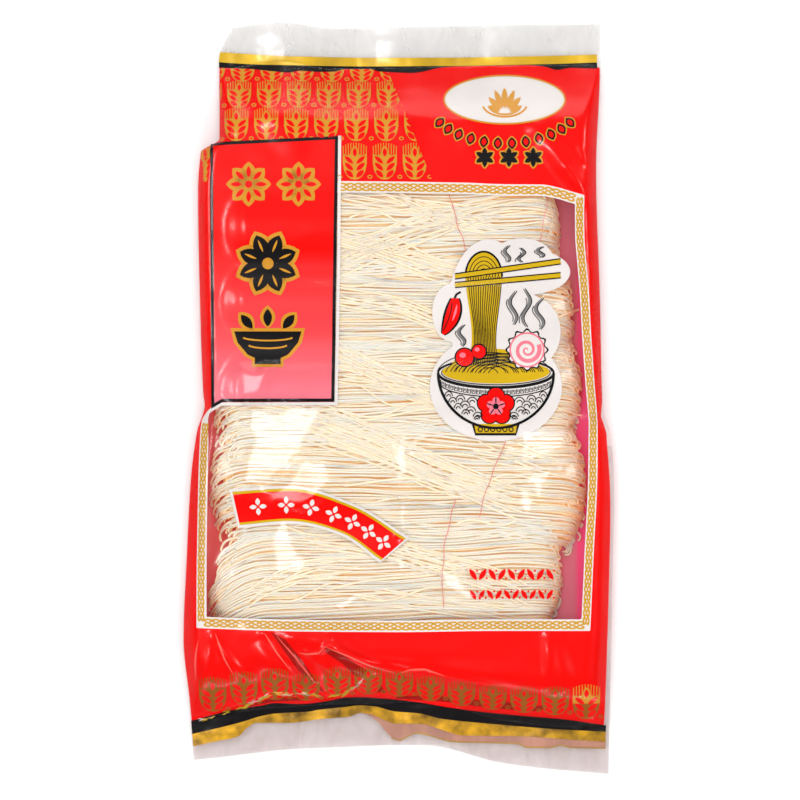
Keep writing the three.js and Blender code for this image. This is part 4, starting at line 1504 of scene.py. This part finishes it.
def tubes(paths, radius):
    """Round tubes along many paths of equally many points. A section stands square to its path, with its
    first point aside of the path on the level. The tubes run to a point at both ends."""
    ahead = np.gradient(paths, axis=1)
    ahead /= np.maximum(np.linalg.norm(ahead, axis=-1, keepdims=True), 1e-9)
    aside = np.stack([-ahead[..., 1], ahead[..., 0], 0 * ahead[..., 0]], -1)
    aside /= np.maximum(np.linalg.norm(aside, axis=-1, keepdims=True), 1e-9)
    up = np.cross(ahead, aside)
    angle = (np.arange(TUBE_SIDES) * 2 * math.pi / TUBE_SIDES)[None, None, :, None]
    radius = np.broadcast_to(radius, paths.shape[:2]).copy()
    radius[:, [0, -1]] = 1e-6
    section = aside[:, :, None] * np.cos(angle) + up[:, :, None] * np.sin(angle)
    points = paths[:, :, None] + section * radius[..., None, None]
    count, steps = paths.shape[:2]
    faces = grid_faces(steps, TUBE_SIDES, wrap_columns=True, copies=count)[:, ::-1]
    return points.reshape(-1, 3), faces


def columns(rng, count):
    """A function that draws one random number for each strand between two limits."""
    return lambda low, high: rng.uniform(low, high, (count, 1))


def noodle_piece(name, x, y, z, tone, core=None, least_deep=0.0):
    """Noodles along these paths, with what their finish reads: how deep each point lies under the top of the
    pile, which the finish turns into painted shade and glow, the random tone of the strand, and how much
    painted red light from the print it gets near the print."""
    rng = np.random.default_rng(noodles().seed + len(x))
    radius = noodles().strand / 2
    points, faces = tubes(np.stack([x, y, z], -1), radius * columns(rng, len(x))(*THICKNESS))
    deep = np.clip((noodle_top(x, y) - radius - z) / DEEP, least_deep, 1)
    warm = sum(share * smoothstep(place, low * MM, high * MM)
               for place, (share, low, high) in zip((x, -x, y), RED_LIGHT))
    values = {"deep": deep, "tone": tone + 0 * x, "warm": np.clip(warm, 0, 1)}
    values = {key: np.repeat(value[..., None], TUBE_SIDES, 2).ravel() for key, value in values.items()}
    if core is not None:
        values = {key: np.r_[value, np.full(len(core[0]), CORE_VALUES[key])] for key, value in values.items()}
        points, faces = merged([(points, faces), core])
    piece = new_piece(name, points, faces, dough(), "noodle")
    for key, value in values.items():
        piece.data.attributes.new(key, "FLOAT", "POINT").data.foreach_set("value", value.astype(np.float32))
    return piece


class PACK_OT_hanks(Operator):
    """Five hanks of noodles, each a skein of long strands over its own core"""
    bl_idname = "pack.hanks"
    bl_label = "Noodle hanks"

    # How much wider than the film's swell a hank is, and how round the line of its ends is.
    FULLNESS, ROUNDNESS = 1.12, 0.96
    # How far the outer strands stand back at the left and right ends, and how far each lower layer does.
    LEFT_BACK, RIGHT_BACK, LAYER_LEFT, LAYER_RIGHT = 12 * MM, 9 * MM, 2.2 * MM, 0.7 * MM
    # How much the tie pinches the hank, and over what length.
    PINCH, PINCH_REACH = 0.12, 22 * MM
    # The share of loose strands, and how little the others wander.
    LOOSE, TIGHT = 0.14, 0.22
    RIGHT_SAG, RIGHT_SAG_REACH = 2.6 * MM, 12 * MM
    # Layers are numbered on from hank to hank in steps of this.
    LAYERS_A_HANK = 5

    def plan(self, rng, hank, tie, left_sag, layer, count):
        """X, Y and how far below its place each point hangs, for one layer of strands. A strand runs along
        the hank, and at both ends bends round a small circle and back under itself. The strands share one
        smooth drift, so that neighbours keep together, and all sag the same way towards their ends."""
        mid_y, left, right, half_width, _, slant = hank
        draw = columns(rng, count)
        full = half_width * self.FULLNESS * MM
        place = ((np.arange(count)[:, None] + draw(0.1, 0.9)) / count * 2 - 1) * full
        round_end = 1 - np.sqrt(np.maximum(1 - (place / full * self.ROUNDNESS) ** 2, 0))
        depth = layer % self.LAYERS_A_HANK
        back_left = rng.gamma(1.5, 2.0 * MM, (count, 1)) + self.LAYER_LEFT * depth
        back_right = rng.gamma(1.2, 1.7 * MM, (count, 1)) + self.LAYER_RIGHT * depth
        low = left * MM + round_end * self.LEFT_BACK + back_left
        high = right * MM - round_end * self.RIGHT_BACK - back_right
        small, large = draw(0.8, 2.4) * MM, draw(1.4, 5.0) * MM
        angle = np.linspace(0, 1, 8)[None, 1:]
        turn_high, turn_low = draw(1.6, 3.9) * angle, draw(0.7, 2.5) * angle
        run = low + large + (high - small - low - large) * np.linspace(0, 1, 34)[None]
        x = np.concatenate([(low + large - large * np.sin(turn_low))[:, ::-1], run,
                            high - small + small * np.sin(turn_high)], 1)
        fall = np.concatenate([(large * (1 - np.cos(turn_low)))[:, ::-1], 0 * run,
                               small * (1 - np.cos(turn_high))], 1)
        hang = np.concatenate([(turn_low / 3 * MM)[:, ::-1], 0 * run, turn_high / 3 * MM], 1)
        middle = (left + right) / 2 * MM
        pinch = 1 - self.PINCH * np.exp(-((x - tie * MM) / self.PINCH_REACH) ** 2)
        drift = 1.5 * noise(x + layer * 31 * MM, place + 0 * x, 40 * MM, 7 * MM, 40 + layer)
        drift = drift + 0.5 * noise(x, place + 0 * x, 16 * MM, 3.5 * MM, 50 + layer)
        loose = draw(0, 1) < self.LOOSE
        slope = np.where(loose, draw(-0.05, 0.05), draw(-0.004, 0.004)) + slant
        t = (x - low) / (high - low)
        waves = np.sin(2 * math.pi * draw(0.8, 2.8) * t + draw(0, 6.3))
        own = np.where(loose, 1.0, self.TIGHT) * noodles().wander * waves
        drop, over = np.array(left_sag) * MM
        sag = drop * np.clip((left * MM + over - x) / over, 0, 1) ** 2
        past = (x - right * MM + self.RIGHT_SAG_REACH) / self.RIGHT_SAG_REACH
        sag = sag + self.RIGHT_SAG * np.clip(past, 0, 1) ** 2
        y = mid_y * MM + place * pinch + drift * MM + own + slope * (x - middle) - sag - fall
        return x, y, hang

    def core(self, hank, stations=40, sides=20):
        """A closed loaf under the strands: ellipses along the hank that shrink to a point at both ends."""
        mid_y, left, right, half_width, height, slant = hank
        share = np.linspace(-1, 1, stations)
        middle, reach = (left + right) / 2 * MM, ((right - left) / 2 - 6) * MM
        swell = np.sqrt(np.maximum(1 - np.abs(share) ** 10, 0))[:, None]
        angle = (np.arange(sides) * 2 * math.pi / sides)[None]
        x = (middle + reach * share)[:, None] + 0 * angle
        y = mid_y * MM + slant * (x - middle) + (half_width - 2.5) * MM * swell * np.cos(angle)
        z = 0.6 * MM + (height - 5.5) / 2 * MM * (1 + swell * np.sin(angle))
        return np.stack([x, y, z], -1).reshape(-1, 3), grid_faces(stations, sides, wrap_columns=True)

    def execute(self, context):
        radius, count = noodles().strand / 2, noodles().across
        for number, (hank, tie, left_sag) in enumerate(zip(HANKS, TIES_AT, LEFT_SAG), 1):
            rng = np.random.default_rng(noodles().seed * 100 + number)
            draw = columns(rng, count)
            paths, tones = [], []
            for layer in range(noodles().layers):
                level = layer + self.LAYERS_A_HANK * number
                x, y, hang = self.plan(rng, hank, tie, left_sag, level, count)
                lift = draw(0, 0.18 * MM) + 0.2 * MM * (1 + np.sin(x / draw(10 * MM, 24 * MM) + draw(0, 6.3)))
                top = noodle_top(x, y)
                z = np.maximum(top - radius - layer * radius * 1.75 - lift - hang, radius + 0.5 * MM)
                paths.append(np.stack([x, y, z]))
                tones.append(draw(0, 1))
            x, y, z = np.concatenate(paths, 1)
            noodle_piece(f"hank_{number}", x, y, z, np.concatenate(tones), self.core(hank))
        return {"FINISHED"}


class PACK_OT_streams(Operator):
    """Streams of noodles that cross the hanks, and single strays"""
    bl_idname = "pack.streams"
    bl_label = "Crossing noodles"

    # The number of single strays, how deep every noodle here sinks at its ends, and over what share of it.
    STRAYS, SINK, SINK_SHARE = 26, 1.6 * MM, 0.07
    # Y for each X along a stream, its width, and how many noodles it has.
    STREAMS = (
        ([(-40, 88), (-12, 83), (14, 79), (40, 75)], 7, 6),
        ([(-12, 89), (4, 82), (22, 73.5), (42, 69)], 5, 5),
        ([(-42, 50), (-24, 57.5), (-9, 64), (13, 71.5), (42, 79.5), (56, 81)], 12, 12),
        ([(-40, 70), (-26, 66), (-8, 61), (14, 54), (38, 49)], 10, 9),
        ([(-40, 44), (-24, 41), (0, 37.5), (20, 31), (44, 28)], 9, 8),
        ([(-44, 26), (-25, 19.5), (-12, 13), (9, 3), (28, -4)], 9, 9),
        ([(-40, 12), (-24, 9.5), (1, 5), (26, -1.5), (52, -4)], 9, 9),
        ([(-66, -2), (-46, -5), (-29, -10), (9, -27), (34, -38), (54, -46)], 13, 15),
        ([(-44, -12), (-8, -24), (22, -35), (48, -41), (62, -43)], 10, 10),
        ([(-38, -58), (-8, -62), (12, -68), (42, -77), (56, -84)], 11, 10),
        ([(-66, -86), (-54, -78), (-38, -72), (-10, -70)], 9, 8),
        ([(-20, -82), (8, -85), (34, -88), (52, -90)], 8, 8),
        ([(30, -20), (48, -24), (62, -27), (70, -28)], 9, 8),
        ([(40, 58), (54, 55), (62, 50), (68, 48)], 8, 8),
    )

    def execute(self, context):
        rng = np.random.default_rng(noodles().seed)
        radius, steps = noodles().strand / 2, 44
        t = np.linspace(0, 1, steps)[None]
        xs, ys, lifts = [], [], []
        for knots, width, count in self.STREAMS:
            draw = columns(rng, count)
            start, end = knots[0][0] * MM + draw(-5, 14) * MM, knots[-1][0] * MM + draw(-14, 5) * MM
            x = start + (end - start) * t
            place = (np.arange(count)[:, None] + draw(0.1, 0.9)) / count - 0.5
            y = line_through(knots, x) + (place + draw(-0.25, 0.25) * (t - 0.5)) * width * MM
            y = y + noodles().wander * 0.7 * np.sin(2 * math.pi * draw(0.6, 1.6) * t + draw(0, 6.3))
            xs.append(x)
            ys.append(y)
            lifts.append(draw(-0.45, 0.15) * MM)
        draw = columns(rng, self.STRAYS)
        reach, slope = draw(26, 90) * MM, draw(-0.3, 0.3)
        x = draw(-42, 46) * MM + reach * (t - 0.5)
        xs.append(x)
        y = draw(-84, 82) * MM + slope * reach * (t - 0.5)
        ys.append(y + 2.4 * MM * np.sin(t * draw(2, 7) + draw(0, 6)))
        lifts.append(draw(-0.1, 0.20) * MM)
        x, y, lift = np.concatenate(xs), np.concatenate(ys), np.concatenate(lifts)
        to_end = 0.5 - np.abs(t - 0.5)
        sink = (1 - np.minimum(to_end, self.SINK_SHARE) / self.SINK_SHARE) * self.SINK
        z = np.maximum(noodle_top(x, y) - 0.4 * MM + lift - sink, radius + 0.5 * MM)
        half = len(x) // 2
        tone = rng.random((len(x), 1))
        # least_deep gives the crossing noodles part of the painted deep shade and glow, as if they lay down
        # in the pile.
        noodle_piece("crossing_noodles_1", x[:half], y[:half], z[:half], tone[:half], least_deep=0.3)
        noodle_piece("crossing_noodles_2", x[half:], y[half:], z[half:], tone[half:], least_deep=0.3)
        return {"FINISHED"}


class PACK_OT_threads(Operator):
    """Thin red threads tied round the hanks"""
    bl_idname = "pack.threads"
    bl_label = "Thread ties"

    # Each visible run of thread, from its upper end down.
    TIES = (
        ((20.0, 90), (21.4, 84), (24.6, 72), (27.4, 64), (30.5, 54)),
        ((62.6, 90), (62.4, 84), (60.6, 74), (58.6, 64), (57.0, 55)),
        ((46.6, -12), (45.4, -16), (40.4, -28), (36.6, -38), (33.4, -50)),
        ((23.6, -42), (22.2, -48), (19.4, -60), (18.2, -72), (18.6, -88)),
    )

    def execute(self, context):
        t = np.linspace(0, 1, 50)
        plans = np.array([points_along(tie, np.linspace(0, 1, len(tie)), t) for tie in self.TIES]) * MM
        x, y = plans[..., 0] + 0.25 * MM * np.sin(t * 21), plans[..., 1]
        radius = noodles().thread / 2
        z = np.minimum(noodle_top(x, y) + 0.35 * MM, front_height(x, y) - 0.42 * MM - radius)
        points, faces = tubes(np.stack([x, y, z], -1), radius)
        new_piece("thread_ties", points, faces, thread_yarn(), "thread")
        return {"FINISHED"}


# ---------------------------------------------------------------- stage

PIXEL = 0.42 * MM
VIEW_WIDTH = 800 * PIXEL
CAMERA_HEIGHT = EYE_HEIGHT
IMAGE_CENTRE = (1.5 * PIXEL, -2.0 * PIXEL)
# The floor's half width and its height, just under the pack, and the brightness of the world.
FLOOR_HALF, FLOOR_HEIGHT, WORLD_STRENGTH = 3.0, -0.15 * MM, 0.2


class PACK_OT_stage(Operator):
    """Pale floor, soft studio lights and the camera straight above"""
    bl_idname = "pack.stage"
    bl_label = "Stage"

    # Name, place and size in metres, and radiance of each light, and how slim it is if it is a strip.
    MATT_LIGHTS = (("overhead", (-0.1, 0.1, 2.4), 2.0, 2.1),
                   ("east", (1.7, 0, 1.5), 1.5, 2.35), ("north", (0, 1.7, 1.5), 1.5, 2.35),
                   ("west", (-1.7, 0, 1.5), 1.5, 2.35), ("south", (0, -1.7, 1.5), 1.5, 2.35))
    GLOSS_LIGHTS = (("sheen", (0, 1.9, 1.25), 1.5, 5.5, None), ("strip", (0.3, -1.6, 0.60), 2.6, 32, 0.045),
                    ("glare", GLARE_AT, 0.25, 46, None), ("left", (-1.05, 0.15, 0.95), 0.35, 30, None),
                    ("right", (1.05, 0.25, 0.95), 0.35, 30, None))

    def softbox(self, name, place, size, radiance, slim=None, gloss_only=False):
        """A square light that faces the pack for matt surfaces, or one for the gloss alone, which is a disc
        or, where slim gives its other size, a strip. Its power is its radiance times pi times its area."""
        light = bpy.data.lights.new(name, "AREA")
        light.shape = "RECTANGLE" if slim else "DISK" if gloss_only else "SQUARE"
        light.size = size
        light.size_y = slim or size
        area = size * light.size_y * (math.pi / 4 if light.shape == "DISK" else 1)
        light.energy = radiance * math.pi * area
        lamp = bpy.data.objects.new(name, light)
        bpy.context.scene.collection.objects.link(lamp)
        lamp.location = place
        lamp.rotation_euler = (-Vector(place)).to_track_quat("-Z", "Y").to_euler()
        lamp.visible_camera = False
        lamp.visible_glossy = gloss_only
        lamp.visible_diffuse = not gloss_only

    def execute(self, context):
        scene = context.scene
        half, low = FLOOR_HALF, FLOOR_HEIGHT
        mesh = bpy.data.meshes.new("floor")
        mesh.from_pydata([(-half, -half, low), (half, -half, low), (half, half, low), (-half, half, low)], [],
                         [(0, 1, 2, 3)])
        paper, tree, shader = new_material("studio_paper", Roughness=0.9, Specular_IOR_Level=0.1)
        tree.links.new(mottled(tree, (0.93, 0.93, 0.93), 3, 0.01), shader.inputs["Base Color"])
        mesh.materials.append(paper)
        floor = bpy.data.objects.new("floor", mesh)
        scene.collection.objects.link(floor)
        floor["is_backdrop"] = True

        world = bpy.data.worlds.new("studio")
        world.use_nodes = True
        background = world.node_tree.nodes["Background"].inputs
        background["Color"].default_value = (1, 1, 1, 1)
        background["Strength"].default_value = WORLD_STRENGTH
        scene.world = world
        for light in self.MATT_LIGHTS:
            self.softbox(*light)
        for light in self.GLOSS_LIGHTS:
            self.softbox(*light, gloss_only=True)

        camera = bpy.data.cameras.new("camera")
        camera.lens = camera.sensor_width * CAMERA_HEIGHT / VIEW_WIDTH
        camera.clip_end = 20
        holder = bpy.data.objects.new("camera", camera)
        holder.location = (*IMAGE_CENTRE, CAMERA_HEIGHT)
        scene.collection.objects.link(holder)
        scene.camera = holder
        scene.view_settings.view_transform = "Standard"
        return {"FINISHED"}


PIECES = (PACK_OT_film, PACK_OT_weld_haze, PACK_OT_back_print, PACK_OT_red_ground, PACK_OT_bands,
          PACK_OT_window_border, PACK_OT_label, PACK_OT_wheat_ears, PACK_OT_oval, PACK_OT_banner,
          PACK_OT_bowl_picture, PACK_OT_marks, PACK_OT_fold_gold, PACK_OT_hanks, PACK_OT_streams,
          PACK_OT_threads, PACK_OT_stage)
GROUPS = {"pack_sizes": PackSizes, "noodle_sizes": NoodleSizes, "pack_colours": PackColours}


class VIEW3D_PT_vermicelli(Panel):
    bl_label = "Vermicelli pack"
    bl_space_type = "VIEW_3D"
    bl_region_type = "UI"
    bl_category = "Vermicelli"

    def draw(self, context):
        for group in GROUPS:
            box = self.layout.box()
            settings = getattr(context.scene, group)
            for name in settings.bl_rna.properties.keys():
                if name not in ("rna_type", "name"):
                    box.prop(settings, name)
        for piece in PIECES:
            self.layout.operator(piece.bl_idname)


def register():
    for group in GROUPS.values():
        bpy.utils.register_class(group)
    for name, group in GROUPS.items():
        setattr(bpy.types.Scene, name, PointerProperty(type=group))
    for cls in (*PIECES, VIEW3D_PT_vermicelli):
        bpy.utils.register_class(cls)


def unregister():
    for cls in (VIEW3D_PT_vermicelli, *reversed(PIECES)):
        bpy.utils.unregister_class(cls)
    for name in GROUPS:
        delattr(bpy.types.Scene, name)
    for group in GROUPS.values():
        bpy.utils.unregister_class(group)


def main():
    register()
    for piece in PIECES:
        group, name = piece.bl_idname.split(".")
        getattr(getattr(bpy.ops, group), name)()
    boxes = {"cad_box": CAD_BOX, "visual_box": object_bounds()}
    {name: [list(corner) for corner in box] for name, box in boxes.items()}


if __name__ == "__main__":
    main()
